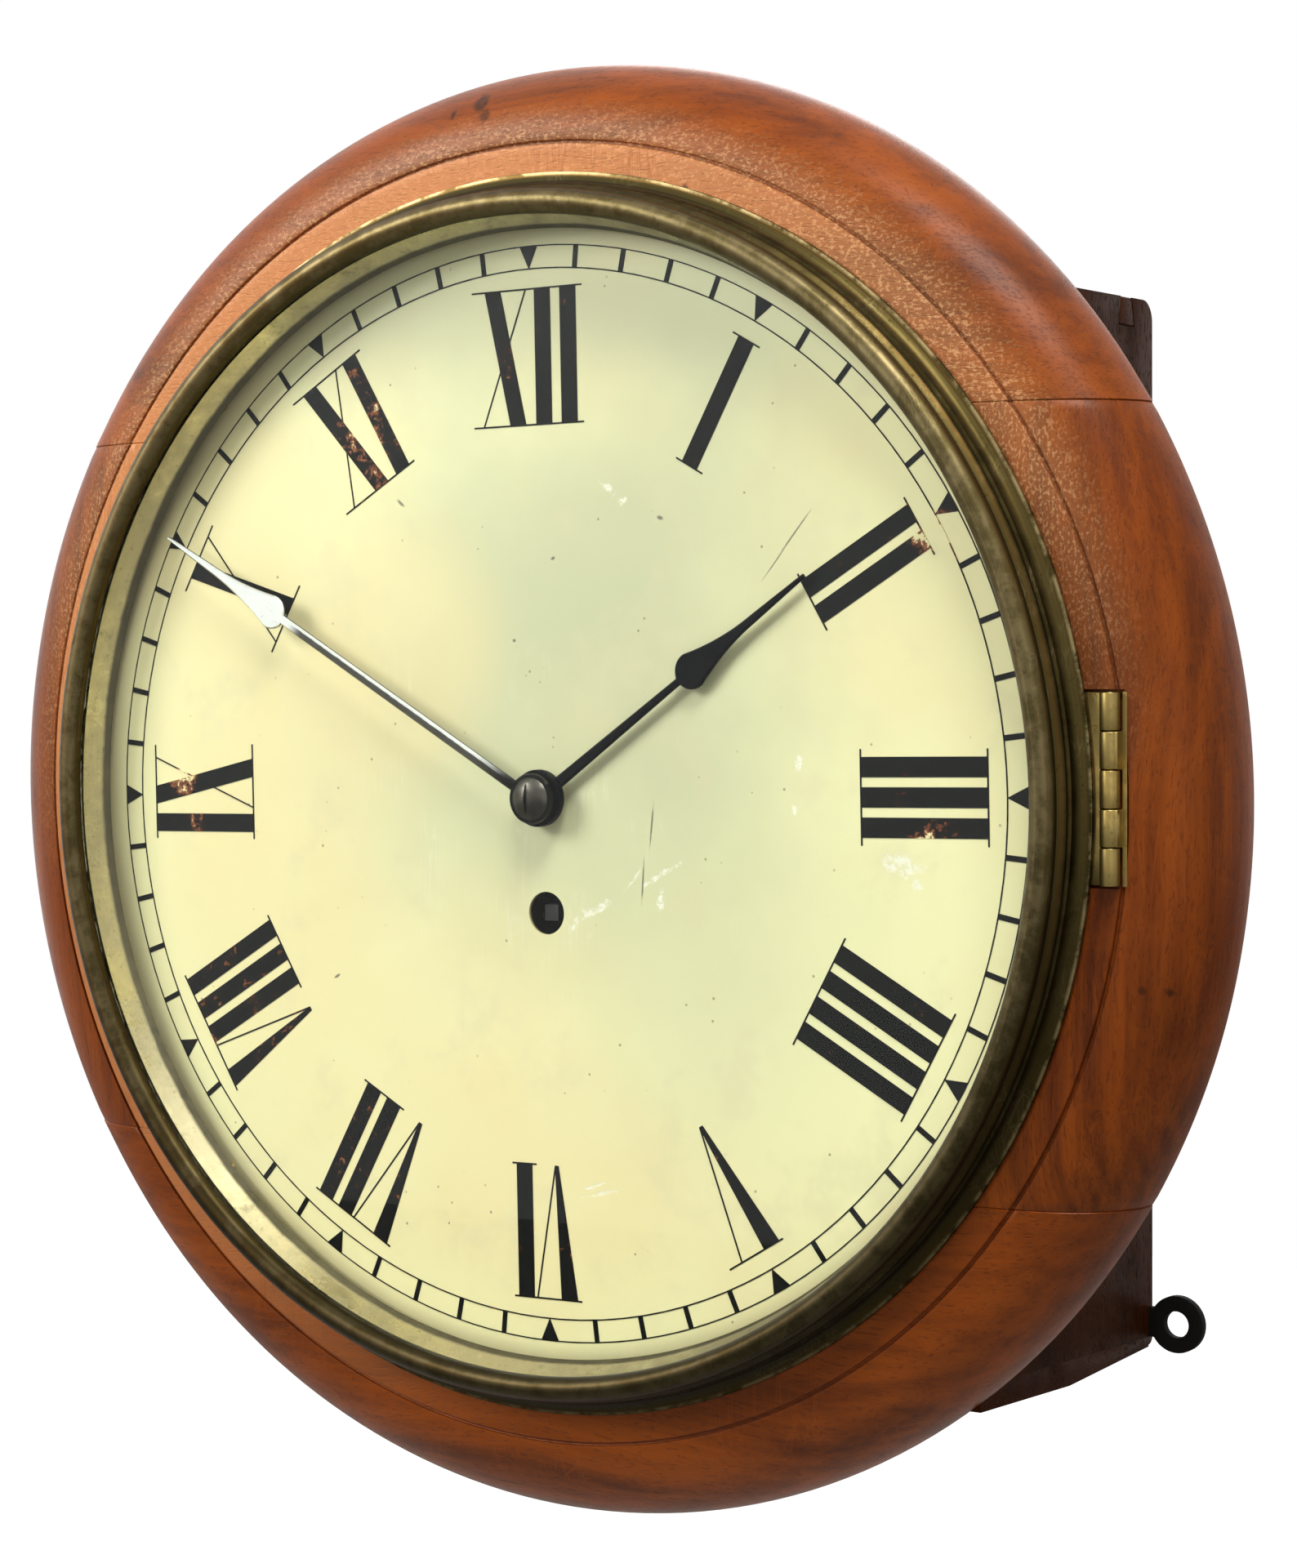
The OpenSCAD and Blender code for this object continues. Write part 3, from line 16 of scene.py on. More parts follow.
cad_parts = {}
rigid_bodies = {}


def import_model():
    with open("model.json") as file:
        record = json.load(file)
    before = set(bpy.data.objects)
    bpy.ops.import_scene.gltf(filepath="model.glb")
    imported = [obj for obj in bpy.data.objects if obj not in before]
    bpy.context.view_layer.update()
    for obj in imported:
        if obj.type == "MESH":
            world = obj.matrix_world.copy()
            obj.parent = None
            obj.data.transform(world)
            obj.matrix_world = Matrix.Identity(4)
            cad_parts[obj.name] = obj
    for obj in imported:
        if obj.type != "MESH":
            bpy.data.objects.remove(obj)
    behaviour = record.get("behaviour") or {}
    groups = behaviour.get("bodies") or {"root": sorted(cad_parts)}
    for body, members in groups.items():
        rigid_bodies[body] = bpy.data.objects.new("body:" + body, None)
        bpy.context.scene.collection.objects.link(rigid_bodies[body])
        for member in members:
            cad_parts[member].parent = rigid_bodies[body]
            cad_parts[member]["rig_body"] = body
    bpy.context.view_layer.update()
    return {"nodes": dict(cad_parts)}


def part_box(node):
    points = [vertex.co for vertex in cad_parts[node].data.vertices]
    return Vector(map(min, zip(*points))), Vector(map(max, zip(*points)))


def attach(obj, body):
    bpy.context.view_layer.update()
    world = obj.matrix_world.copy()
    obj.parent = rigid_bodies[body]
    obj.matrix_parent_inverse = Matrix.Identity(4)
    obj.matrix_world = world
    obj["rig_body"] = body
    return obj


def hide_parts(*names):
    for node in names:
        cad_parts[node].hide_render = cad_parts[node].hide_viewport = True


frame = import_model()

bl_info = {
    "name": "Fusee Dial Clock",
    "version": (1, 0, 0),
    "blender": (4, 5, 0),
    "location": "View3D > Sidebar > Dial Clock",
    "description": "Builds the wood, brass, dial and hands of a wall-hung fusee dial clock",
    "category": "Add Mesh",
}

MM = 0.001
CENTRE = (2.0, -0.4)


def level(node, front=True):
    """Height above the wall of a CAD node's front or back, in millimetres."""
    low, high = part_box(node)
    return round(-(low.y if front else high.y) / MM, 3)


def tone(text):
    """A colour written as rrggbb, as the linear values that a socket takes."""
    values = [int(text[i:i + 2], 16) / 255 for i in (0, 2, 4)]
    return tuple(v / 12.92 if v <= 0.04045 else ((v + 0.055) / 1.055) ** 2.4 for v in values)


def length(name, text, default, low, high):
    return FloatProperty(name=name, description=text, default=default, min=low, max=high,
                         unit="NONE")


def colour(name, text, default):
    return FloatVectorProperty(name=name, description=text, default=tone(default), size=3,
                               subtype="COLOR", min=0, max=1)


class ClockSizes(bpy.types.PropertyGroup):
    """Sizes in millimetres of the pieces that are drawn here"""
    opening: length("Opening", "Radius of the surround's opening behind the dial", 114, 100, 130)
    rebate: length("Rebate", "Radius of the rebate that takes the dial", 160, 150, 170)
    groove: length("Groove", "Radius of the groove's inner edge", 174.4, 165, 185)
    groove_width: length("Groove width", "Width of the groove", 1.0, 0.4, 2)
    groove_depth: length("Groove depth", "Depth of the groove", 1.3, 0.5, 2.5)
    roll: length("Roll", "Radius of the surround's big roll in section", 22.5, 15, 25)
    glue_joint: length("Glue joint", "Height of the glue joints from the centre", 100, 80, 120)
    flange: length("Flange", "Outer radius of the bezel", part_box("bezel")[1].x / MM, 150, 180)
    bezel_wall: length("Bezel wall", "Inner radius of the bezel", 157.2, 150, 165)
    bead: length("Bead", "Radius of the bezel's rolled edge in section", 3.4, 2, 4)
    sight: length("Sight ring", "Clear radius of the sight ring", 152, 140, 156)
    soft_edge: length("Soft edge", "Rounding of the wooden edges", 0.7, 0.1, 2)
    hand_bevel: length("Hand bevel", "Width of the bevel along the hands", 0.45, 0.1, 0.6)
    steps: IntProperty(name="Steps", description="Steps around each turned piece", default=288,
                       min=96, max=720)


class ClockColours(bpy.types.PropertyGroup):
    """Colours of the finishes"""
    wood_light: colour("Mahogany, light", "Light grain of the surround", "96480f")
    wood_dark: colour("Mahogany, dark", "Dark grain of the surround", "522307")
    wood_red: colour("Mahogany, red", "Red polish over the surround", "722e0a")
    box_light: colour("Box, light", "Light grain of the box", "3c200e")
    box_dark: colour("Box, dark", "Dark grain of the box", "190b04")
    pine_light: colour("Pine, light", "Light grain of the unseen boards", "b08a5c")
    pine_dark: colour("Pine, dark", "Dark grain of the unseen boards", "7d5634")
    # Also the painted highlight on the bezel's rubbed crest
    brass_bright: colour("Brass, bright", "Rubbed high places of the bezel", "7f7150")
    brass_dull: colour("Brass, dull", "Tarnished faces of the bezel", "453c20")
    # Also the painted shade on the lower part of the bezel
    brass_dark: colour("Brass, dark", "Dirt in the hollows of the bezel", "100d05")
    clean_brass: colour("Movement brass", "Lacquered brass of the movement", "c9a75b")
    steel: colour("Steel", "Polished steel", "b9bcc0")
    black_steel: colour("Black steel", "Blued and blackened steel", "0b0b0d")
    paint: colour("Dial paint", "Cream paint of the dial", "f8f4bb")
    paint_warm: colour("Aged paint", "Warm patches of the dial", "f5e2a6")
    paint_cloud: colour("Clouded paint", "Grey-green cloud on the dial", "bfc29c")
    figures: colour("Figures", "Black paint of the figures", "0d0e0c")
    copper: colour("Figure wear", "Worn places of the figures", "8d5030")
    floor: colour("Floor", "Plain pale floor", "d0d0cc")


# Mesh making

def at(x, y, z):
    return (x * MM, -z * MM, y * MM)


def tidy_normals(mesh, sharp=35):
    """Faces point outwards, and shade smooth except over edges sharper than the angle."""
    bm = bmesh.new()
    bm.from_mesh(mesh)
    bmesh.ops.recalc_face_normals(bm, faces=bm.faces)
    bm.to_mesh(mesh)
    bm.free()
    mesh.shade_smooth()
    mesh.set_sharp_from_angle(angle=math.radians(sharp))


def add_object(name, mesh, sharp=35):
    """A new object of a mesh. Its place is in its mesh."""
    obj = bpy.data.objects.new(name, mesh)
    bpy.context.scene.collection.objects.link(obj)
    tidy_normals(mesh, sharp)
    return obj


def link_mesh(name, verts, faces):
    """A new object from points in millimetres."""
    mesh = bpy.data.meshes.new(name)
    mesh.from_pydata([at(*v) for v in verts], [], faces)
    mesh.validate()
    return add_object(name, mesh)


def drop(*objects):
    for obj in objects:
        mesh = obj.data
        bpy.data.objects.remove(obj)
        bpy.data.meshes.remove(mesh)


def apply_modifiers(obj):
    graph = bpy.context.evaluated_depsgraph_get()
    made = bpy.data.meshes.new_from_object(obj.evaluated_get(graph))
    old = obj.data
    obj.modifiers.clear()
    obj.data = made
    made.name = obj.name
    bpy.data.meshes.remove(old)
    tidy_normals(made)


def box_points(x0, x1, y0, y1, z0, z1):
    verts = [(x, y, z) for x in (x0, x1) for y in (y0, y1) for z in (z0, z1)]
    faces = [(0, 1, 3, 2), (4, 6, 7, 5), (0, 4, 5, 1), (2, 3, 7, 6), (0, 2, 6, 4), (1, 5, 7, 3)]
    return verts, faces


def carve(obj, cuts):
    """Takes boxes, given as (x0, x1, y0, y1, z0, z1), out of a piece."""
    cutters = []
    for i, cut in enumerate(cuts):
        cutter = link_mesh(f"cutter_{i}", *box_points(*cut))
        modifier = obj.modifiers.new(f"cut_{i}", "BOOLEAN")
        modifier.operation, modifier.solver, modifier.object = "DIFFERENCE", "EXACT", cutter
        cutters.append(cutter)
    apply_modifiers(obj)
    drop(*cutters)


def join_parts(parts):
    """One list of points and faces from several."""
    verts, faces = [], []
    for part_verts, part_faces in parts:
        first = len(verts)
        verts += part_verts
        faces += [tuple(i + first for i in face) for face in part_faces]
    return verts, faces


def bands(rings, count, around=True, closed=True):
    """Faces between successive rings of count points. A row that isn't around is capped."""
    faces = []
    for i in range(rings if around else rings - 1):
        here, there = i * count, (i + 1) % rings * count
        for j in range(count if closed else count - 1):
            k = (j + 1) % count
            faces.append((here + j, here + k, there + k, there + j))
    if not around:
        last = (rings - 1) * count
        faces += [tuple(range(count)), tuple(range(last, last + count))]
    return faces


def turned(profile, steps, shift=None):
    """A closed profile of (radius, height) turned once about the dial's axis."""
    verts = []
    for i in range(steps):
        angle = 2 * math.pi * i / steps
        for r, z in profile:
            if shift:
                r, z = shift(r, z, angle)
            verts.append((r * math.cos(angle), r * math.sin(angle), z))
    return verts, bands(steps, len(profile))


def arc(cx, cy, r, start, end, count):
    """Points of an arc from start to end, in degrees."""
    turns = [math.radians(start + (end - start) * i / count) for i in range(count + 1)]
    return [(cx + r * math.cos(turn), cy + r * math.sin(turn)) for turn in turns]


def inward(profile, depth):
    """The same profile with each point moved in by a depth. The profile runs anticlockwise."""
    points, count, moved = [Vector(p) for p in profile], len(profile), []
    for i, p in enumerate(points):
        run = points[(i + 1) % count] - points[i - 1]
        normal = Vector((-run.y, run.x)).normalized()
        moved.append(tuple(p + normal * depth))
    return moved


def soften(node, name, width, segments=2, sharp=32):
    """A copy of a CAD node with its sharp edges rounded."""
    bm = bmesh.new()
    bm.from_mesh(frame["nodes"][node].data)
    bmesh.ops.remove_doubles(bm, verts=bm.verts, dist=2e-6)
    bmesh.ops.dissolve_limit(bm, angle_limit=math.radians(0.4), verts=bm.verts, edges=bm.edges,
                             delimit={"NORMAL"})
    edges = [e for e in bm.edges if len(e.link_faces) == 2
             and e.calc_face_angle(0) > math.radians(sharp)]
    bmesh.ops.bevel(bm, geom=edges, offset=width * MM, segments=segments, profile=0.5,
                    affect="EDGES", clamp_overlap=True)
    bmesh.ops.triangulate(bm, faces=[f for f in bm.faces if len(f.verts) > 4])
    mesh = bpy.data.meshes.new(name)
    bm.to_mesh(mesh)
    bm.free()
    mesh.materials.clear()
    return add_object(name, mesh, 40)


def body_of(node):
    return frame["nodes"][node]["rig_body"]


def dress(obj, material, node, replaces=None):
    """Gives a new piece its material, body and slot, and hides the nodes it stands for."""
    obj.data.materials.clear()
    obj.data.materials.append(material)
    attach(obj, body_of(node))
    if replaces is None:
        replaces = (node,)
    if replaces:
        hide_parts(*replaces)


def work(nodes, ending, width, material):
    """Puts a softened copy in a material in the place of each CAD node."""
    for node in nodes:
        dress(soften(node, node + ending, width), material, node)


def finish_node(material, *nodes):
    """Gives CAD nodes that keep their shape a material of their own."""
    for node in nodes:
        obj = frame["nodes"][node]
        if not obj.material_slots:
            raise RuntimeError(f"{node} has no material slot")
        for material_slot in obj.material_slots:
            material_slot.material = material


# Shader building

def arithmetic(operation):
    """The plain and the swapped method of one arithmetic sign."""
    return (lambda value, other: calc(operation, value, other),
            lambda value, other: calc(operation, other, value))


class Value:
    """An output of a shader node. Arithmetic with it adds Math nodes to its tree."""
    __add__, __radd__ = arithmetic("ADD")
    __sub__, __rsub__ = arithmetic("SUBTRACT")
    __mul__, __rmul__ = arithmetic("MULTIPLY")
    __truediv__, __rtruediv__ = arithmetic("DIVIDE")

    def __init__(self, socket):
        self.socket, self.tree = socket, socket.id_data


class Outputs:
    """The outputs of a node, as values."""
    def __init__(self, node):
        self.sockets = node.outputs

    def __getitem__(self, key):
        return Value(self.sockets[key])


def feed(node, inputs):
    """Sets inputs of a node, each to a number, a colour or another node's output."""
    for key, value in inputs.items():
        socket = node.inputs[key]
        if isinstance(value, Value):
            value.tree.links.new(value.socket, socket)
        elif socket.type == "RGBA":
            socket.default_value = (*value[:3], 1)
        else:
            socket.default_value = value


def place(tree, kind, inputs=None, **settings):
    """The outputs of a new shader node with its settings and its inputs."""
    node = tree.nodes.new(kind)
    for key, value in settings.items():
        setattr(node, key, value)
    feed(node, inputs or {})
    return Outputs(node)


def calc(operation, a, b=0.0):
    """A Math node. At least one of a and b is a value."""
    tree = (a if isinstance(a, Value) else b).tree
    return place(tree, "ShaderNodeMath", {0: a, 1: b}, operation=operation)[0]


def larger(a, b):
    return calc("MAXIMUM", a, b)


def distance(dx, dy):
    return calc("SQRT", dx * dx + dy * dy)


def mixed(factor, a, b, mode="MIX"):
    """Two colours mixed by a factor."""
    return place(factor.tree, "ShaderNodeMix", {0: factor, 6: a, 7: b}, data_type="RGBA",
                 blend_type=mode, clamp_factor=True)[2]


def between(value, low, high, to_low=0.0, to_high=1.0):
    """A value's place between low and high, as a smooth step."""
    return place(value.tree, "ShaderNodeMapRange",
                 {"Value": value, "From Min": low, "From Max": high, "To Min": to_low,
                  "To Max": to_high}, interpolation_type="SMOOTHSTEP")["Result"]


def combined(x, y=0.0, z=0.0):
    return place(x.tree, "ShaderNodeCombineXYZ", {"X": x, "Y": y, "Z": z})[0]


def scaled(vector, scale):
    return place(vector.tree, "ShaderNodeVectorMath", {0: vector, "Scale": scale},
                 operation="SCALE")[0]


def stretched(vector, x, y, z, turn=(0, 0, 0), move=(0, 0, 0)):
    return place(vector.tree, "ShaderNodeMapping", {
        "Vector": vector, "Scale": (x, y, z), "Rotation": turn, "Location": move})[0]


def grainy(vector, scale=1.0, detail=3.0, rough=0.55, distortion=0.0):
    return place(vector.tree, "ShaderNodeTexNoise",
                 {"Vector": vector, "Scale": scale, "Detail": detail, "Roughness": rough,
                  "Distortion": distortion})["Fac"]


def cells(vector, scale=1.0, feature="F1"):
    return place(vector.tree, "ShaderNodeTexVoronoi", {
        "Vector": vector, "Scale": scale, "Randomness": 1.0}, feature=feature)["Distance"]


def shader_group(name, inputs, outputs):
    """The given values and the output node of a new node group. Colours are three numbers."""
    tree = bpy.data.node_groups.new(name, "ShaderNodeTree")
    for label, default in inputs:
        kind = ("NodeSocketVector" if default is None else
                "NodeSocketColor" if isinstance(default, tuple) else "NodeSocketFloat")
        socket = tree.interface.new_socket(label, in_out="INPUT", socket_type=kind)
        if isinstance(default, tuple):
            socket.default_value = (*default, 1)
        elif default is not None:
            socket.default_value = default
    for label in outputs:
        kind = "NodeSocketColor" if label == "Colour" else "NodeSocketFloat"
        tree.interface.new_socket(label, in_out="OUTPUT", socket_type=kind)
    return Outputs(tree.nodes.new("NodeGroupInput")), tree.nodes.new("NodeGroupOutput")


def once(build):
    """Builds a node group the first time it is asked for, named by its docstring."""
    def get():
        name = build.__doc__.splitlines()[0]
        return bpy.data.node_groups.get(name) or build(name)
    return get


def grouped(group, vector, **inputs):
    """The outputs of a node that uses a group."""
    given = {"Vector": vector, **{label.title(): value for label, value in inputs.items()}}
    return place(vector.tree, "ShaderNodeGroup", given, node_tree=group())


@once
def dial_coordinates(name):
    """Dial coordinates"""
    given, out = shader_group(name, [("Vector", None)], ("Across", "Up", "Out", "Radius", "Turn"))
    vector = given["Vector"]
    split = place(vector.tree, "ShaderNodeSeparateXYZ", {0: vector})
    across, up = split["X"] * 1000, split["Z"] * 1000
    feed(out, {"Across": across, "Up": up, "Out": split["Y"] * -1000,
               "Radius": distance(across, up),
               "Turn": calc("ARCTAN2", up, across) / (2 * math.pi)})
    return out.id_data


@once
def timber(name):
    """Timber grain"""
    given, out = shader_group(name, [
        ("Vector", None), ("Light", (0.4, 0.2, 0.1)), ("Dark", (0.1, 0.05, 0.02)),
        ("Polish", (0.3, 0.08, 0.02)), ("Pores", 0.6), ("Figure", 0.5), ("Blotches", 0.5),
        ("Dirt", 0.3)], ("Colour", "Roughness", "Height"))
    vector = given["Vector"]
    push = combined(grainy(vector, 7, 2) * 0.03)
    along = place(vector.tree, "ShaderNodeVectorMath", {0: vector, 1: push}, operation="ADD")[0]
    lines = grainy(stretched(along, 190, 190, 4.5), 1, 6, 0.62)
    rings = grainy(stretched(along, 32, 32, 1.6), 1, 3, 0.5, 0.6)
    pores = grainy(stretched(along, 1500, 1500, 260), 1, 2, 0.6)
    short = grainy(stretched(along, 900, 900, 300), 1, 2, 0.5)
    figure = grainy(stretched(along, 38, 38, 95, (0.25, 0.2, 0)), 1, 3, 0.6, 0.8)
    blotch = grainy(vector, 11, 4, 0.6)
    colour_ = mixed(between(lines * 0.55 + rings * 0.45, 0.3, 0.66), given["Dark"],
                    given["Light"])
    colour_ = mixed(between(blotch, 0.35, 0.7) * given["Blotches"], colour_, given["Polish"])
    colour_ = mixed(between(figure, 0.5, 0.72) * given["Figure"], colour_, given["Light"])
    pore_mask = larger(between(pores, 0.55, 0.68), between(short, 0.63, 0.74)) * given["Pores"]
    colour_ = mixed(pore_mask, colour_, given["Dark"], "MULTIPLY")
    dirt = between(grainy(vector, 46, 6, 0.7), 0.52, 0.78) * given["Dirt"]
    colour_ = mixed(dirt, colour_, given["Dark"])
    feed(out, {"Colour": colour_, "Roughness": 0.38 + (pore_mask * 0.25 + dirt * 0.5),
               "Height": lines * 0.25 - pore_mask})
    return out.id_data


@once
def patina(name):
    """Metal patina"""
    given, out = shader_group(name, [
        ("Vector", None), ("Bright", (0.6, 0.5, 0.25)), ("Dull", (0.2, 0.15, 0.06)),
        ("Dark", (0.03, 0.02, 0.01)), ("Tarnish", 0.5), ("Spots", 0.3), ("Scale", 1.0)],
        ("Colour", "Roughness", "Height"))
    vector = scaled(given["Vector"], given["Scale"])
    broad = grainy(vector, 22, 5, 0.62)
    fine = grainy(vector, 260, 4, 0.6)
    cover = between(broad * 0.7 + fine * 0.3 + (given["Tarnish"] - 0.5), 0.36, 0.62)
    pits = between(grainy(vector, 620, 3, 0.7), 0.58, 0.7)
    spots = between(grainy(vector, 95, 5, 0.75), 0.56, 0.72)
    dark = larger(spots, pits * 0.7) * given["Spots"]
    colour_ = mixed(dark, mixed(cover, given["Bright"], given["Dull"]), given["Dark"])
    feed(out, {"Colour": colour_, "Roughness": 0.2 + cover * 0.2 + dark * 0.3,
               "Height": fine * 0.4 - dark})
    return out.id_data


@once
def scratches(name):
    """Fine scratches"""
    given, out = shader_group(name, [("Vector", None), ("Scale", 1.0)], ("Mask",))
    vector, masks = given["Vector"], []
    for turn in ((0.3, 0.5, 0.2), (0.1, -0.9, 1.1), (1.2, 1.9, 0.4)):
        spread = scaled(stretched(vector, 260, 260, 16, turn), given["Scale"])
        thin = between(cells(spread, 1, "DISTANCE_TO_EDGE"), 0.0, 0.035, 1.0, 0.0)
        masks.append(thin * between(grainy(vector, 60, 3), 0.5, 0.66))
    feed(out, {"Mask": larger(larger(masks[0], masks[1]), masks[2])})
    return out.id_data


def blank(name):
    """A new material with its shader node and its object coordinates."""
    material = bpy.data.materials.new(name)
    material.use_nodes = True
    tree = material.node_tree
    return material, tree.nodes["Principled BSDF"], place(tree, "ShaderNodeTexCoord")["Object"]


def bump(shader, height, strength, distance=0.0002):
    feed(shader, {"Normal": place(height.tree, "ShaderNodeBump", {
        "Height": height, "Strength": strength, "Distance": distance})[0]})


def see_through(shader, mask):
    """Makes a material transparent where a mask is 1."""
    tree = shader.id_data
    both = place(tree, "ShaderNodeMixShader", {
        0: mask, 1: Outputs(shader)[0], 2: place(tree, "ShaderNodeBsdfTransparent")[0]})
    feed(tree.nodes["Material Output"], {"Surface": both[0]})


GRAIN_TURNS = {"up": (0, 0, 0), "across": (0, math.pi / 2, 0)}


def wood_material(name, grain, light, dark, polish, shift=0.0, coat=0.5, pores=0.6, figure=0.4,
                  blotches=0.5, dirt=0.3, marks=None):
    """Polished or bare timber, with the grain up or across."""
    material, shader, vector = blank(name)
    along = stretched(vector, 1, 1, 1, GRAIN_TURNS[grain], (shift, shift * 0.7, shift * 0.4))
    made = grouped(timber, along, light=light, dark=dark, polish=polish, pores=pores,
                   figure=figure, blotches=blotches, dirt=dirt)
    colour_ = made["Colour"]
    if marks:
        colour_ = marks(vector, along, colour_)
    scuffs = grouped(scratches, vector, scale=0.7)["Mask"]
    feed(shader, {
        "Base Color": mixed(scuffs * 0.35, colour_, light), "Roughness": made["Roughness"],
        "Coat Weight": coat, "Coat Roughness": 0.36, "Coat IOR": 1.3,
        "Specular IOR Level": 0.12 if coat else 0.04, "Specular Tint": (1.0, 0.6, 0.38)})
    bump(shader, made["Height"], 0.7, 0.0004)
    return material


def metal_material(name, bright, dull, dark, tarnish=0.5, spots=0.3, base_rough=0.0,
                   metallic=1.0, extra=None):
    """Brass, steel or iron with its tarnish, spots and scratches."""
    material, shader, vector = blank(name)
    made = grouped(patina, vector, bright=bright, dull=dull, dark=dark, tarnish=tarnish,
                   spots=spots, scale=1.0)
    fine = grouped(scratches, vector, scale=2.0)["Mask"]
    colour_ = mixed(fine * 0.4, made["Colour"], bright)
    rough = made["Roughness"] + base_rough
    if extra:
        colour_, rough = extra(vector, colour_, rough)
    feed(shader, {"Base Color": colour_, "Roughness": rough, "Metallic": metallic,
                  "Specular IOR Level": 0.5 if metallic else 0.12})
    bump(shader, made["Height"], 0.25, 0.0001)
    return material


def textured_material(name, texture, ends, low, high, rough, strength):
    """Stuff whose colour, roughness and height follow one texture of the object coordinates."""
    material, shader, vector = blank(name)
    texture = texture(vector)
    feed(shader, {"Base Color": mixed(between(texture, *ends), tone(low), tone(high)),
                  "Roughness": rough + texture * 0.3})
    bump(shader, texture, strength, 0.0003)
    return material


# Surround

def surround_profile(s, back, front):
    """The section of the surround, anticlockwise, as (radius, height above the wall)."""
    edge = s.soft_edge * 0.6
    dial_back = level("dial", True) - 1.2
    roll_r = s.groove + 0.9
    roll_z = front - 0.5 - s.roll
    groove_out = s.groove + s.groove_width
    floor = front - s.groove_depth
    start = math.degrees(math.asin((back - roll_z) / s.roll))
    points = [(s.opening, back), (roll_r, back), *arc(roll_r, roll_z, s.roll, start, 88.6, 44)]
    points += [(groove_out + 0.12, front - 0.56), (groove_out, front - 0.75),
               (groove_out - 0.1, floor + 0.1), (groove_out - 0.3, floor),
               (s.groove + 0.3, floor), (s.groove + 0.05, floor + 0.12),
               (s.groove, front - edge)]
    points += arc(s.groove - edge, front - edge, edge, 20, 90, 3)
    steps = 8
    points += [(s.groove - edge - (s.groove - s.rebate - 2 * edge) * i / steps, front)
               for i in range(1, steps)]
    points += arc(s.rebate + edge, front - edge, edge, 90, 180, 4)
    points += [(s.rebate, dial_back), (s.opening, dial_back)]
    return points


def surround_segment(name, s, side, steps):
    """One of the four glued segments. side is top, bottom, left or right."""
    back, front = level("surround_top", False), level("surround_top")
    profile = surround_profile(s, back, front)

    def angles(r):
        lean = math.asin(s.glue_joint / r)
        return {"top": (lean, math.pi - lean), "bottom": (math.pi + lean, 2 * math.pi - lean),
                "right": (-lean, lean), "left": (math.pi - lean, math.pi + lean)}[side]

    def ring(share, points, shave):
        made = []
        for r, z in points:
            first, last = angles(r)
            angle = first + (last - first) * share
            x, y = r * math.cos(angle), r * math.sin(angle)
            if side in ("top", "bottom"):
                y += shave if side == "top" else -shave
            else:
                y -= math.copysign(shave, y)
            worn = 0.5 * noise.noise(Vector((x, y, z)) * 0.021) - 0.5
            on_roll = max(0.0, min(1.0, (r - s.groove - 2) / 4))
            depth = 0.22 * worn * on_roll
            made.append((x + math.cos(angle) * depth, y + math.sin(angle) * depth,
                         z + depth * 0.4 * (z > back + 2)))
        return made

    shaved = inward(profile, 0.22)
    rings = [ring(0, shaved, 0.03), ring(0, profile, 0.3)]
    rings += [ring(i / steps, profile, 0) for i in range(1, steps)]
    rings += [ring(1, profile, 0.3), ring(1, shaved, 0.03)]
    verts = [v for points in rings for v in points]
    return link_mesh(name, verts, bands(len(rings), len(profile), around=False))


def painted_glints_and_dents(groove, spots):
    """Rubbed golden grain beside the groove, and dark dents given as (x, y, radius, strength)."""
    def paint(vector, along, colour_):
        spot = grouped(dial_coordinates, vector)
        uneven = grainy(vector, 18, 3) * 60
        near = between(spot["Radius"], groove - 2, groove + 14, 1.0, 0.0)
        front = between(spot["Out"], 112, 122)
        high = between(spot["Up"] - spot["Across"] * 0.1 + uneven, 0, 130)
        glint_ticks = between(grainy(stretched(along, 1250, 1250, 820), 1, 3, 0.7), 0.5, 0.62)
        # Painted highlight: golden glints on the pores and a light golden wash beside the groove,
        # on the upper part only
        colour_ = mixed(near * front * high * (0.16 + glint_ticks * 0.5), colour_, tone("e8b27c"))
        # Painted highlight: a bright orange sheen on the flat inside the groove, strongest to the
        # upper left
        painted_sheen = between(spot["Up"] * 0.6 - spot["Across"], -110, 130, 0.0, 0.7)
        flat = 0.0
        if groove:
            flat = between(spot["Radius"], groove - 0.6, groove + 0.1, 1, 0) * front
        colour_ = mixed(flat * painted_sheen, colour_, tone("e0935a"))
        ragged = grainy(vector, 620, 4, 0.65) * 3
        for x, y, radius, strength in spots:
            far = distance(spot["Across"] - x, spot["Up"] - y) + ragged
            mask = between(far, radius * 0.6 + 1.5, radius + 2.6, strength, 0.0)
            colour_ = mixed(mask, colour_, tone("1d0c05"))
        return colour_
    return paint


# Grain and shift of the segments, and their dents: x, y, radius and strength
SEGMENTS = {
    "top": ("across", 0.0, ((-28.7, 185.4, 0.6, 0.9), (-20, 188, 2.2, 0.8), (-17, 184, 1.4, 0.7),
                            (49, 159.5, 0.4, 0.8))),
    "bottom": ("across", 0.31, ()),
    "left": ("up", 0.57, ()),
    "right": ("up", 0.83, ((191.7, -57.4, 1.2, 0.85), (184, -44.3, 0.5, 0.7),
                           (178, -44, 0.4, 0.6))),
}
# A cut runs this far past what it goes through. The hook's slot is x and y from and to. The bed
# of the hinge leaf has some play in height, a depth, and an end inside the leaf's own edge
PAST = 9
HOOK_SLOT = (-166, -161.7, -7.4, 7.4)
LEAF_PLAY, LEAF_BED, LEAF_LIP = 0.6, 2.3, 1.15


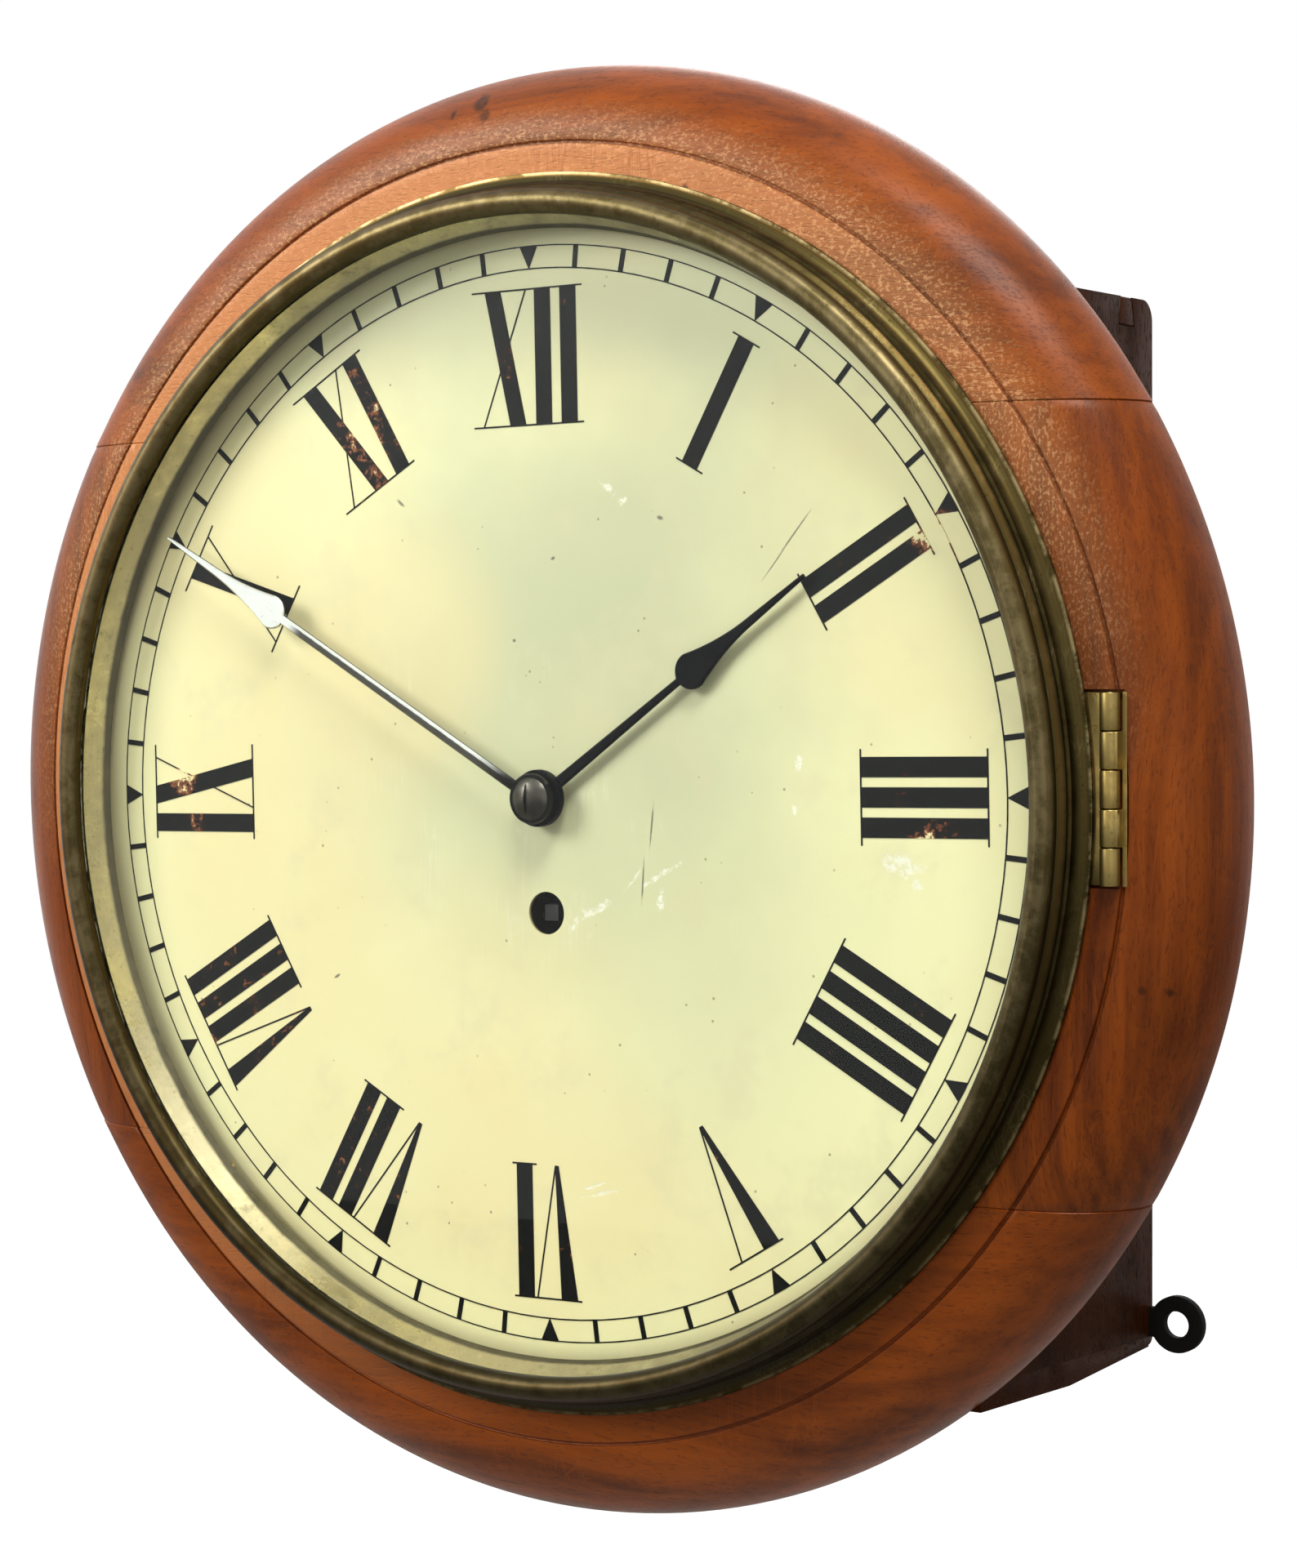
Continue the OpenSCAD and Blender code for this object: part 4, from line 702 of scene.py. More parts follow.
class CLOCK_OT_surround(bpy.types.Operator):
    """Turns the wooden surround in its four glued segments"""
    bl_idname = "clock.surround"
    bl_label = "Surround"

    def execute(self, context):
        s, c = context.scene.clock_sizes, context.scene.clock_colours
        back, front = level("surround_top", False), level("surround_top")
        low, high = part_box("bezel_hinge")
        bed = (low.z / MM - LEAF_PLAY, high.z / MM + LEAF_PLAY, front - LEAF_BED, front + PAST)
        cuts = {
            "right": [(s.rebate - 6, s.groove, *bed),
                      (s.groove - 1, high.x / MM - LEAF_LIP, *bed)],
            "left": [(*HOOK_SLOT, back - PAST, front + PAST)],
        }
        for side, (grain, shift, dents) in SEGMENTS.items():
            name = "surround_" + side
            obj = surround_segment(name + "_turned", s, side, s.steps // 4)
            if side in cuts:
                carve(obj, cuts[side])
            material = wood_material(
                "mahogany_" + side, grain, c.wood_light, c.wood_dark, c.wood_red, shift, coat=0.4,
                pores=0.28, figure=0.2, blotches=0.4, dirt=0.1,
                marks=painted_glints_and_dents(s.groove, dents))
            dress(obj, material, name)
        return {"FINISHED"}


class CLOCK_OT_box(bpy.types.Operator):
    """Finishes the box behind the surround, its backboard, blocks and pegs"""
    bl_idname = "clock.box"
    bl_label = "Box"

    def execute(self, context):
        s, c = context.scene.clock_sizes, context.scene.clock_colours
        up = wood_material("box_sides", "up", c.box_light, c.box_dark, c.wood_dark, 0.2, 0.0,
                           dirt=0.6, figure=0.2, marks=painted_glints_and_dents(0, [(117, 110, 4, 0.8)]))
        across = wood_material("box_boards", "across", c.box_light, c.box_dark, c.wood_dark,
                               0.5, 0.0, dirt=0.6, figure=0.2)
        pine = wood_material("pine_boards", "up", c.pine_light, c.pine_dark, c.pine_dark, 0.4, 0.0,
                             pores=0.25, figure=0.1, dirt=0.4)
        work(("case_side_left", "case_side_right"), "_board", s.soft_edge, up)
        work(("case_top", "case_bottom"), "_board", s.soft_edge, across)
        work(("backboard", "case_blocks", "case_pegs"), "_worked", 0.5, pine)
        return {"FINISHED"}


# Screws: the shank's length, the ring of the four through the dial, the distances from the
# middle of the two of the catch, x and y of those of the wall lugs and hanging plate with their
# height above the wall, and x and y of those of the turn-buttons
SHANK = 9
DIAL_SCREW_RING = 155.9
CATCH_SCREWS = (154, 142.5)
WALL_SCREWS = ((-96, -150.9), (96, -150.9), (-108, -150.9), (108, -150.9), (-13, 98), (13, 98))
WALL_SCREW_Z = 2.5
SIDE_SCREW, BOTTOM_SCREW = (124.6, 15), (0, -162.7)


def slotted_head(x, y, z, axis, r, h):
    """A domed and slotted screw head with a short shank, standing on a point, along an axis."""
    steps, verts = 24, []
    profile = [(r * 0.45, -SHANK), (r * 0.45, 0), (r, 0), (r, h * 0.3)]
    profile += [(r * math.cos(math.radians(a)), h * 0.3 + h * 0.7 * math.sin(math.radians(a)))
                for a in np.linspace(12, 86, 5)]
    for i in range(steps):
        a = 2 * math.pi * i / steps
        for rr, zz in profile:
            u, v = rr * math.cos(a), rr * math.sin(a)
            if zz > h * 0.25 and abs(v) < r * 0.16:
                zz = min(zz, h * 0.45)
            verts.append({"x": (x + zz, y + u, z + v), "-y": (x + u, y - zz, z + v),
                          "z": (x + u, y + v, z + zz), "-z": (x + u, y + v, z - zz)}[axis])
    count = len(profile)
    faces = bands(steps, count, closed=False)
    faces += [tuple(i * count + end for i in range(steps)) for end in (0, count - 1)]
    return verts, faces


class CLOCK_OT_fittings(bpy.types.Operator):
    """Forges the wall lugs and hanging plate, and cuts the slotted screws"""
    bl_idname = "clock.fittings"
    bl_label = "Wall fittings and screws"

    def execute(self, context):
        c = context.scene.clock_colours
        iron = metal_material("black_iron", tone("1d1b19"), tone("0d0c0b"), tone("25150c"), 0.7,
                              0.4, base_rough=0.35, metallic=0.0)
        work(("wall_fittings",), "_forged", 0.45, iron)
        brass = metal_material("screw_brass", c.clean_brass, c.brass_dull, c.brass_dark, 0.45, 0.3)
        face, catch = level("dial"), level("surround_top", False) - 2.6
        button = level("side_button", True) - 3.5
        ring = [math.radians(a) for a in (45, 135, 225, 315)]
        parts = [slotted_head(DIAL_SCREW_RING * math.cos(a), DIAL_SCREW_RING * math.sin(a), face,
                              "z", 2.5, 1.2) for a in ring]
        parts += [slotted_head(-x, 0, catch, "-z", 2.5, 1.1) for x in CATCH_SCREWS]
        parts += [slotted_head(x, y, WALL_SCREW_Z, "-z", 1.6, 2.3) for x, y in WALL_SCREWS]
        parts += [slotted_head(*SIDE_SCREW, button, "x", 3, 1),
                  slotted_head(*BOTTOM_SCREW, button, "-y", 3, 1)]
        dress(link_mesh("case_screws_slotted", *join_parts(parts)), brass, "case_screws")
        return {"FINISHED"}


class CLOCK_OT_doors(bpy.types.Operator):
    """Finishes the side door and the bottom door with their hinges and turn-buttons"""
    bl_idname = "clock.doors"
    bl_label = "Doors"

    def execute(self, context):
        s, c = context.scene.clock_sizes, context.scene.clock_colours
        for node, grain, shift in (("side_door", "up", 0.24), ("bottom_door", "across", 0.53)):
            wood = wood_material("door_" + node.split("_")[0], grain, c.box_light, c.box_dark,
                                 c.wood_dark, shift, 0.0, dirt=0.5, figure=0.2)
            work((node,), "_board", s.soft_edge * 0.7, wood)
        brass = metal_material("door_brass", c.clean_brass, c.brass_dull, c.brass_dark, 0.55, 0.4)
        work(("side_door_leaf", "bottom_door_leaf", "door_hinges", "side_button",
              "bottom_button"), "_filed", 0.25, brass)
        return {"FINISHED"}


# Bezel

def bezel_profile(s, face):
    """The section of the spun bezel, anticlockwise, as (radius, height above the wall)."""
    wall, edge, bead = s.bezel_wall, s.flange, s.bead
    bead_r, bead_z = wall + 0.9, 13.5
    points = [(wall, 3.0), (wall + 0.15, 2.8), (edge - 0.3, 2.8), (edge, 3.05), (edge, 3.75)]
    points += [(edge - 0.12, 4.0)]
    points += arc(edge + 0.2, 8, 4, 262, 184, 14)
    points += arc(wall + 3.95, 9.2, 1.45, -48, 52, 8)
    points += arc(bead_r, bead_z, bead, -36, 186, 34)
    points += [(bead_r - bead + 0.14, 12.86), (bead_r - bead + 0.4, 12.8), (wall, 12.8)]
    return [(r, face + z) for r, z in points]


def bezel_age_and_painted_light(c, edge):
    """Spun rings, dirt in the cove, a rubbed crest, a pale rim and a dark lower part."""
    def paint(vector, colour_, rough):
        spot = grouped(dial_coordinates, vector)
        out = spot["Out"]
        crest = between(out, 139.2, 141.6)
        cove = between(out, 129.6, 131.6) * between(out, 134.5, 137.2, 1.0, 0.0)
        ragged = between(grainy(vector, 130, 5, 0.7), 0.38, 0.6)
        uneven = 0.15 + ragged * 0.4
        rings = grainy(combined(spot["Radius"] * 1.1, out * 1.1,
                                calc("ABSOLUTE", spot["Turn"]) * 4), 0.8, 2, 0.5)
        colour_ = mixed(between(rings, 0.48, 0.68, 0, 0.5), colour_, tone("644722"))
        colour_ = mixed(between(rings, 0.46, 0.32, 0, 0.5), colour_, c.brass_dark)
        colour_ = mixed(cove * uneven, colour_, c.brass_dark)
        # Rubbed brass and a painted highlight along the crest of the bead
        colour_ = mixed(crest * uneven, colour_, c.brass_bright)
        # Painted highlight: a pale line along the outer edge of the flange
        rim = between(spot["Radius"], edge - 1.2, edge - 0.4, 0.0, 0.6)
        colour_ = mixed(rim * ragged, colour_, tone("b5a172"))
        # Painted shade: the bezel darkens towards its lower part
        low = between(spot["Up"] + ragged * 20, 90, -130, 0.0, 0.7)
        return mixed(low, colour_, c.brass_dark), rough
    return paint


def putty_ring(s, face, steps):
    """The uneven line of putty behind the glass, as a thin rough fillet."""
    edge, top, verts = s.bezel_wall - 0.1, face + 10.75, []
    for i in range(steps):
        angle = 2 * math.pi * i / steps
        spot = Vector((math.cos(angle) * 40, math.sin(angle) * 40, 3.7))
        swell = 0.55 + 0.45 * noise.noise(spot) + 0.35 * noise.noise(spot * 3.1)
        inner = s.bezel_wall - 0.25 - max(0.12, min(1.5, 1.5 * swell))
        low = face + 10.72 - max(0.15, min(0.9, 0.8 * swell))
        section = [(edge, low), (edge, top), (inner, top), (inner + 0.05, top - 0.15),
                   (inner + 0.5, low + 0.1)]
        verts += [(r * math.cos(angle), r * math.sin(angle), z) for r, z in section]
    return verts, bands(steps, len(section))


def crumbly(vector):
    """The grit of old putty."""
    return grainy(vector, 340, 5, 0.7)


def painted_lip_shade(vector, colour_, rough):
    """Old dirt along the foot of the sight ring, next to the dial."""
    spot = grouped(dial_coordinates, vector)
    ragged = grainy(vector, 90, 4, 0.7) * 1.2
    # Painted shade: a darker brown over the ring's right side
    right_side_shade = between(spot["Across"] + ragged * 12, -10, 110, 0.0, 0.82)
    # Painted shade along the foot of the ring, where it meets the dial
    dirt = between(spot["Out"] + ragged, 130.0, 131.4, 0.85, 0.0)
    return mixed(dirt, mixed(right_side_shade, colour_, tone("473a1f")), tone("2a2513")), rough + dirt * 0.3


# The bezel's hook: where its plate stands, how wide it is, and the window the catch goes through
HOOK_X, HOOK_HALF = (-163.55, -162.45), 7
WINDOW_X, WINDOW_HALF, WINDOW_BELOW, WINDOW_ABOVE = (-166, -160), 4.4, 2.7, 0.1


class CLOCK_OT_bezel(bpy.types.Operator):
    """Spins the brass bezel with its hook, sight ring and putty, and files the catch"""
    bl_idname = "clock.bezel"
    bl_label = "Bezel"

    def execute(self, context):
        s, c = context.scene.clock_sizes, context.scene.clock_colours
        face = level("dial")
        old_brass = metal_material("bezel_brass", c.brass_bright, c.brass_dull, c.brass_dark, 0.72,
                                   0.45, extra=bezel_age_and_painted_light(c, s.flange))

        def dented(r, z, angle):
            spot = Vector((math.cos(angle) * 9, math.sin(angle) * 9, z * 0.05))
            depth = 0.06 * (noise.noise(spot) - 1) if z > face + 5 else 0
            return r + depth * (1 if r > s.bezel_wall + 1 else 0), z + depth

        def uneven(r, z, angle):
            spot = Vector((math.cos(angle) * 7, math.sin(angle) * 7, z))
            return r + 0.05 * noise.noise(spot), z

        bezel = link_mesh("bezel_spun", *turned(bezel_profile(s, face), s.steps, dented))
        plate = link_mesh("bezel_hook", *box_points(*HOOK_X, -HOOK_HALF, HOOK_HALF,
                                                    level("bezel", False), face + 3.0))
        wood_back = level("surround_top", False)
        carve(plate, [(*WINDOW_X, -WINDOW_HALF, WINDOW_HALF, wood_back - WINDOW_BELOW,
                       wood_back + WINDOW_ABOVE)])
        dress(bezel, old_brass, "bezel")
        dress(plate, old_brass, "bezel", ())

        wall = s.bezel_wall - 0.1
        section = [(s.sight, 2.7), (s.sight + 0.2, 2.62), (wall, 2.7), (wall, 3.3),
                   (s.sight + 0.95, 3.3), (s.sight + 3.85, 10.78), (s.sight + 3.12, 10.78),
                   (s.sight + 2.1, 8.1), (s.sight + 1.0, 5.4)]
        sight_brass = metal_material("sight_brass", tone("dbcfa8"), tone("b3a98a"), tone("5a5238"),
                                     0.55, 0.5, extra=painted_lip_shade)
        sight = link_mesh("sight_ring_spun", *turned([(r, face + z) for r, z in section], s.steps,
                                                     uneven))
        dress(sight, sight_brass, "sight_ring")
        putty = textured_material("old_putty", crumbly, (0.4, 0.65), "e9e2c8", "a58a55", 0.6, 0.8)
        fillet = link_mesh("glass_putty", *putty_ring(s, face, s.steps * 2))
        dress(fillet, putty, "sight_ring", ())
        brass = metal_material("catch_brass", c.clean_brass, c.brass_dull, c.brass_dark, 0.5, 0.3)
        work(("bezel_catch",), "_filed", 0.25, brass)
        return {"FINISHED"}


# What the file takes off the case leaf: so far in from its end, and so far under the wood's front
LEAF_END, LEAF_PROUD = 1.4, 0.5


class CLOCK_OT_bezel_hinge(bpy.types.Operator):
    """Files the five-knuckle hinge of the bezel"""
    bl_idname = "clock.bezel_hinge"
    bl_label = "Bezel hinge"

    def execute(self, context):
        c = context.scene.clock_colours
        brass = metal_material("hinge_brass", tone("c9a962"), tone("8d7a48"), c.brass_dark, 0.6,
                               0.45)
        work(("bezel_leaf",), "_filed", 0.3, brass)
        hinge = soften("bezel_hinge", "bezel_hinge_filed", 0.3)
        low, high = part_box("bezel_hinge")
        front, edge = level("surround_top"), high.x / MM - LEAF_END
        carve(hinge, [(edge, edge + PAST, low.z / MM - 1, high.z / MM + 1, front - LEAF_PROUD,
                       front + PAST)])
        dress(hinge, brass, "bezel_hinge")
        return {"FINISHED"}


class CLOCK_OT_glass(bpy.types.Operator):
    """Glazes the bezel"""
    bl_idname = "clock.glass"
    bl_label = "Glass"

    def execute(self, context):
        material, shader, vector = blank("old_glass")
        dust = between(grainy(vector, 160, 6, 0.75), 0.55, 0.8)
        feed(shader, {"Base Color": (0.96, 0.99, 0.96), "Transmission Weight": 1, "IOR": 1.2,
                      "Roughness": dust * 0.04})
        bump(shader, grainy(vector, 14, 2), 0.02, 0.001)
        path = place(vector.tree, "ShaderNodeLightPath")
        see_through(shader, larger(path["Is Shadow Ray"], path["Is Diffuse Ray"]))
        finish_node(material, "glass")
        return {"FINISHED"}


# Dial

def oval(spot, x, y, wide, tall, ragged, soft=0.5, lean=0):
    """A mask that is 1 inside an oval patch, which may lean, with a ragged edge."""
    dx, dy = spot["Across"] - x, spot["Up"] - y
    cos, sin = math.cos(math.radians(lean)), math.sin(math.radians(lean))
    far = distance((dx * cos + dy * sin) / wide, (dy * cos - dx * sin) / tall)
    return between(far + ragged, 1 - soft, 1 + soft, 1.0, 0.0)


# Clouded and warm patches of the dial: x, y, half width, half height and amount
DIAL_CLOUDS = ((22, 62, 58, 50, 0.8), (-10, 5, 66, 44, 0.5), (50, -20, 44, 70, 0.4),
               (20, 128, 90, 22, 0.6))
DIAL_WARMTH = ((-95, -5, 40, 75, 0.5), (-10, -110, 90, 30, 0.4), (-48, 40, 30, 30, 0.5),
               (-30, -60, 50, 30, 0.35))
# Bare chalky flakes and dark cracks of the dial: x, y, half length, half width and lean
DIAL_FLAKES = ((23.1, 82.4, 3.2, 1.2, -35), (27.5, 78.9, 1.8, 1.3, 20), (81.6, 10.3, 1.3, 3.2, -8),
               (80.3, -2.1, 1.0, 2.4, 0), (112, -15.3, 6.5, 3.4, -10), (116, -20, 2.6, 3.4, 25),
               (39, -20.1, 8.5, 1.0, 28), (30, -22, 5, 0.8, 50), (17.5, -30.4, 8.5, 1.6, 24),
               (12, -33, 3, 1.4, 60), (38.9, -27, 1.3, 3.4, -12), (19.8, -106.2, 7, 0.8, 14),
               (17, -104.5, 4, 0.5, 20))
DIAL_CRACKS = ((80.5, 69, 7.4, 0.28, 50), (74.5, 61.5, 5.5, 0.2, 50), (36.2, -7, 6.2, 0.3, 84),
               (33.3, -22, 6, 0.28, 86), (39.4, 74, 1.1, 0.6, -15), (-46, 80, 1.6, 0.5, -40),
               (5, 64, 0.8, 0.5, 20), (-8, 42, 0.6, 0.5, 0), (-70, -52, 1.2, 0.4, 30))
# Worn patches of the figures: x, y, half width, half height and amount
FIGURE_WEAR = ((-57, 102, 14, 24, 0.42), (-126, 2, 6, 5, 0.6), (-121, -9, 3, 4, 0.5),
               (122, 68, 8, 9, 0.62), (122, -9, 9, 5, 0.5), (-8, 118, 6, 8, 0.3),
               (-60, -106, 26, 24, 0.14), (-104, -62, 24, 22, 0.25), (14, -124, 7, 12, 0.36))


def dial_paint(vector, c):
    """The aged cream paint, as dial coordinates, a colour and a height."""
    spot = grouped(dial_coordinates, vector)
    soft = (grainy(vector, 15, 4, 0.55) - 0.5) * 1.3
    colour_ = mixed(between(grainy(vector, 12, 4), 0.42, 0.68, 0, 0.55), c.paint, c.paint_warm)
    for patches, paint, edge in ((DIAL_CLOUDS, c.paint_cloud, 0.8),
                                 (DIAL_WARMTH, c.paint_warm, 0.5)):
        for x, y, wide, tall, amount in patches:
            colour_ = mixed(oval(spot, x, y, wide, tall, soft, edge) * amount, colour_, paint)
    mottle = between(grainy(vector, 44, 6, 0.7), 0.5, 0.68, 0, 0.3)
    colour_ = mixed(mottle, colour_, tone("dcd3a8"))
    # Painted shadow of the bezel: the paint darkens towards the rim
    rim = between(spot["Radius"] + soft * 5, 146, 156, 0, 0.7)
    colour_ = mixed(rim, colour_, tone("a89462"))
    lines = grouped(scratches, vector, scale=0.55)["Mask"]
    flakes = between(grainy(stretched(vector, 300, 300, 300), 1, 6, 0.8), 0.62, 0.7)
    chalk = larger(lines, flakes) * oval(spot, -10, -8, 70, 45, soft) * 0.25
    torn = (grainy(vector, 330, 5, 0.75) - 0.4) * 3.2
    for x, y, wide, tall, lean in DIAL_FLAKES:
        chalk = larger(chalk, oval(spot, x, y, wide, tall, torn, 0.25, lean))
    broken = between(grainy(vector, 520, 4, 0.7), 0.42, 0.56, 0.15, 0.8)
    colour_ = mixed(chalk * broken, colour_, tone("fffdea"))
    dark = 0.0
    for x, y, wide, tall, lean in DIAL_CRACKS:
        dark = larger(dark, oval(spot, x, y, wide, tall, torn * 0.35, 0.4, lean))
    colour_ = mixed(dark * 0.8, colour_, tone("3d3a2a"))
    specks = between(cells(vector, 210), 0.1, 0.06, 0, 1)
    gate = between(grainy(vector, 48, 3), 0.53, 0.6)
    colour_ = mixed(specks * gate * 0.7, colour_, tone("7a6a46"))
    return spot, colour_, grainy(vector, 190, 5, 0.7) * 0.3 - chalk * 0.5


class CLOCK_OT_dial(bpy.types.Operator):
    """Paints the dial sheet and its figures, with their wear"""
    bl_idname = "clock.dial"
    bl_label = "Dial"

    def execute(self, context):
        c = context.scene.clock_colours
        face = level("dial")
        material, shader, vector = blank("dial_paint")
        spot, colour_, height = dial_paint(vector, c)
        sheet = between(spot["Out"], face - 0.9, face - 0.3)
        feed(shader, {"Base Color": mixed(sheet, tone("6d5a34"), colour_),
                      "Roughness": 0.42 + height * 0.3})
        bump(shader, height, 0.3)
        finish_node(material, "dial")

        material, shader, vector = blank("figure_paint")
        spot, ground, _ = dial_paint(vector, c)
        flecks = grainy(vector, 300, 5, 0.75)
        ragged = (flecks - 0.5) * 0.8
        wear = grainy(vector, 34, 4, 0.6) * 0.12
        for x, y, wide, tall, amount in FIGURE_WEAR:
            wear = larger(wear, oval(spot, x, y, wide, tall, ragged) * amount)
        amount = flecks + wear * 0.4
        copper, bare = between(amount, 0.67, 0.74), between(amount, 0.76, 0.8)
        colour_ = mixed(bare, mixed(copper, c.figures, c.copper), ground)
        feed(shader, {"Base Color": colour_, "Roughness": 0.3 + copper * 0.3,
                      "Specular IOR Level": 0.1})
        bump(shader, flecks, 0.3)
        finish_node(material, "dial_figures")
        return {"FINISHED"}


# Hands

# Turn of each hand clockwise from XII, its back's height over the dial, and the minute hand's top
MINUTE_TURN, MINUTE_RISE, MINUTE_TOP = 299.7, 6.0, 132.0
HOUR_TURN, HOUR_RISE = 54.8, 2.2
HAND_THICK = 1.0


def hand_outline(reach, bulb, bulb_at, neck_at, stem0, stem1, neck, tip, root):
    """Right half of a hand along y: a stem from inside its boss, a rounded bulb and a long taper.

    bulb_at and neck_at are parts of the reach.
    """
    bulb_y, neck_y, steps = reach * bulb_at, reach * neck_at, 18
    start = math.degrees(math.acos(stem1 / bulb))
    points = [(stem0, root), (stem1, bulb_y - bulb * math.sin(math.radians(start)) - 0.4)]
    points += arc(0, bulb_y, bulb, -start, 8, steps)
    for i in range(1, steps + 1):
        t = i / steps
        points.append((neck + (bulb * 0.985 - neck) * (1 - t) ** 2,
                       bulb_y + bulb * 0.14 + (neck_y - bulb_y) * t))
    points.append((tip, reach))
    return points


def hand_mesh(name, half, turn, z0, bevel, boss, boss_top, bore):
    """A hand with a bevel along both edges and a crowned back, and its turned boss."""
    top, edge, verts = z0 + HAND_THICK, 0.35, []
    for x, y in half:
        inset = min(bevel, x * 0.62)
        shoulder = top - inset * 0.8
        section = ((-x, z0), (-x, shoulder), (-x + inset, top), (0.0, top), (x - inset, top),
                   (x, shoulder), (x, z0))
        verts += [(u, y, z) for u, z in section]
    cos, sin = math.cos(-math.radians(turn)), math.sin(-math.radians(turn))
    verts = [(x * cos - y * sin, x * sin + y * cos, z) for x, y, z in verts]
    faces = bands(len(half), len(section), around=False)
    ring = [(bore, z0), (boss - 0.1, z0), (boss, z0 + 0.1), (boss, boss_top - edge)]
    ring += arc(boss - edge, boss_top - edge, edge, 20, 90, 4)
    ring += [(boss - 1.6, boss_top), (bore, boss_top)]
    verts, faces = join_parts([(verts, faces), turned(ring, 96)])
    return link_mesh(name, [(x + CENTRE[0], y + CENTRE[1], z) for x, y, z in verts], faces)


def blacked_boss_and_shade(vector, colour_, rough):
    """Black around the middle of the minute hand, and grey along its lower bevel."""
    spot = grouped(dial_coordinates, vector)
    dx, dy = spot["Across"] - CENTRE[0], spot["Up"] - CENTRE[1]
    far = distance(dx, dy)
    turn = math.radians(MINUTE_TURN)
    side = dx * math.cos(turn) - dy * math.sin(turn)
    ragged = (grainy(vector, 500, 3) - 0.5) * 0.5
    # Painted shade along the lower side of the stem, short of the bulb
    stem = between(side + ragged, 0.75, 0.3, 0.0, 0.95) * between(far, 96, 90)
    colour_ = mixed(stem * (1.0 - between(far, 97, 101)), colour_, tone("3a352c"))
    colour_ = mixed(between(far, 24, 8), colour_, tone("1b1a18"))
    # Painted shade on the hand's edges below its top
    edge = between(spot["Out"], MINUTE_TOP - 0.5, MINUTE_TOP - 0.25, 1.0, 0.0)
    return mixed(edge, colour_, tone("2a2620")), rough


class CLOCK_OT_hands(bpy.types.Operator):
    """Files, bevels and finishes the two hands and their domed screw"""
    bl_idname = "clock.hands"
    bl_label = "Hands"

    def execute(self, context):
        s, c = context.scene.clock_sizes, context.scene.clock_colours
        face = level("dial")
        half = hand_outline(reach=101.5, bulb=4.9, bulb_at=0.585, neck_at=0.808, stem0=1.6,
                            stem1=0.95, neck=1.1, tip=0.5, root=5.9)
        hour = hand_mesh("hour_hand_filed", half, HOUR_TURN, face + HOUR_RISE, s.hand_bevel,
                         boss=7.7, boss_top=level("hour_hand"), bore=5.2)
        black = metal_material("hour_hand_steel", tone("1b1c1f"), c.black_steel, tone("130f0d"),
                               0.75, 0.25, base_rough=0.1)
        dress(hour, black, "hour_hand")
        half = hand_outline(reach=146.2, bulb=4.75, bulb_at=0.703, neck_at=0.876, stem0=1.5,
                            stem1=1.3, neck=1.1, tip=0.4, root=3.8)
        minute = hand_mesh("minute_hand_filed", half, MINUTE_TURN, face + MINUTE_RISE,
                           s.hand_bevel, boss=6.8, boss_top=level("minute_hand"), bore=3.02)
        bright = metal_material("minute_hand_steel", tone("f0f0ec"), tone("b8b6ac"), tone("33261a"),
                                0.3, 0.2, extra=blacked_boss_and_shade)
        dress(minute, bright, "minute_hand")
        screw = metal_material("hand_screw_steel", tone("67635b"), tone("2c2925"), tone("0f0d0b"),
                               0.55, 0.4, base_rough=0.04)
        work(("hand_screw",), "_domed", 0.2, screw)
        return {"FINISHED"}


def twisted(vector):
    """The slanting strands of the gut."""
    return grainy(stretched(vector, 900, 900, 1800, (0.6, 0.6, 0)), 1, 3)


class CLOCK_OT_movement(bpy.types.Operator):
    """Finishes the plates, barrel, fusee, train, pallets and motion work"""
    bl_idname = "clock.movement"
    bl_label = "Movement"

    def execute(self, context):
        c = context.scene.clock_colours
        brass = metal_material("movement_brass", c.clean_brass, tone("9c8144"), tone("4b3a18"), 0.4,
                               0.2, base_rough=0.05)
        steel = metal_material("movement_steel", c.steel, tone("83868a"), tone("3d3128"), 0.4, 0.2)
        work(("front_plate", "back_plate", "plate_pillars"), "_planished", 0.3, brass)
        finish_node(brass, "barrel", "barrel_cap", "fusee", "great_wheel", "centre_wheel",
                    "third_wheel", "escape_wheel", "back_cock", "cannon_wheel", "minute_wheel",
                    "hour_wheel", "motion_bridge")
        finish_node(steel, "taper_pins", "barrel_arbor", "setup_click", "mainspring",
                    "fusee_click", "stop_iron", "pallets", "crutch")
        worn_steel = metal_material("winding_steel", tone("57554f"), tone("2b2a28"), tone("100e0d"),
                                    0.6, 0.4, base_rough=0.1)
        finish_node(worn_steel, "fusee_arbor")
        gut = textured_material("gut_line", twisted, (0.35, 0.65), "6d5527", "c9ab68", 0.3, 0.6)
        finish_node(gut, "fusee_line")
        return {"FINISHED"}


class CLOCK_OT_pendulum(bpy.types.Operator):
    """Finishes the suspension, the pendulum rod, the bob and its nut"""
    bl_idname = "clock.pendulum"
    bl_label = "Pendulum"

    def execute(self, context):
        c = context.scene.clock_colours
        steel = metal_material("pendulum_steel", c.steel, tone("6f7276"), tone("4b3020"), 0.5, 0.4)
        brass = metal_material("bob_brass", c.clean_brass, c.brass_dull, c.brass_dark, 0.5, 0.35)
        finish_node(steel, "suspension_spring", "pendulum_rod")
        finish_node(brass, "pendulum_bob", "rating_nut")
        return {"FINISHED"}


CAMERA = {
    "place": (0.5428, -0.8948, 0.0408),
    "right": (0.83485457, 0.55043776, -0.00600922),
    "up": (-0.01702414, 0.03672891, 0.99918025),
    "ahead": (-0.55020725, 0.8340679, -0.04003403),
    "lens": 80.1,
}
LAMPS = {
    "window_left": ((-1.45, -1.6, 1.0), 0.9, 0.9, 36),
    "skylight": ((0.62, -0.75, 1.5), 0.7, 0.5, 26),
    "fill_right": ((1.7, -1.8, 0.1), 1.2, 1.2, 3),
    "fill_behind": ((-0.7, 1.9, 0.9), 1.2, 1.2, 12),
}


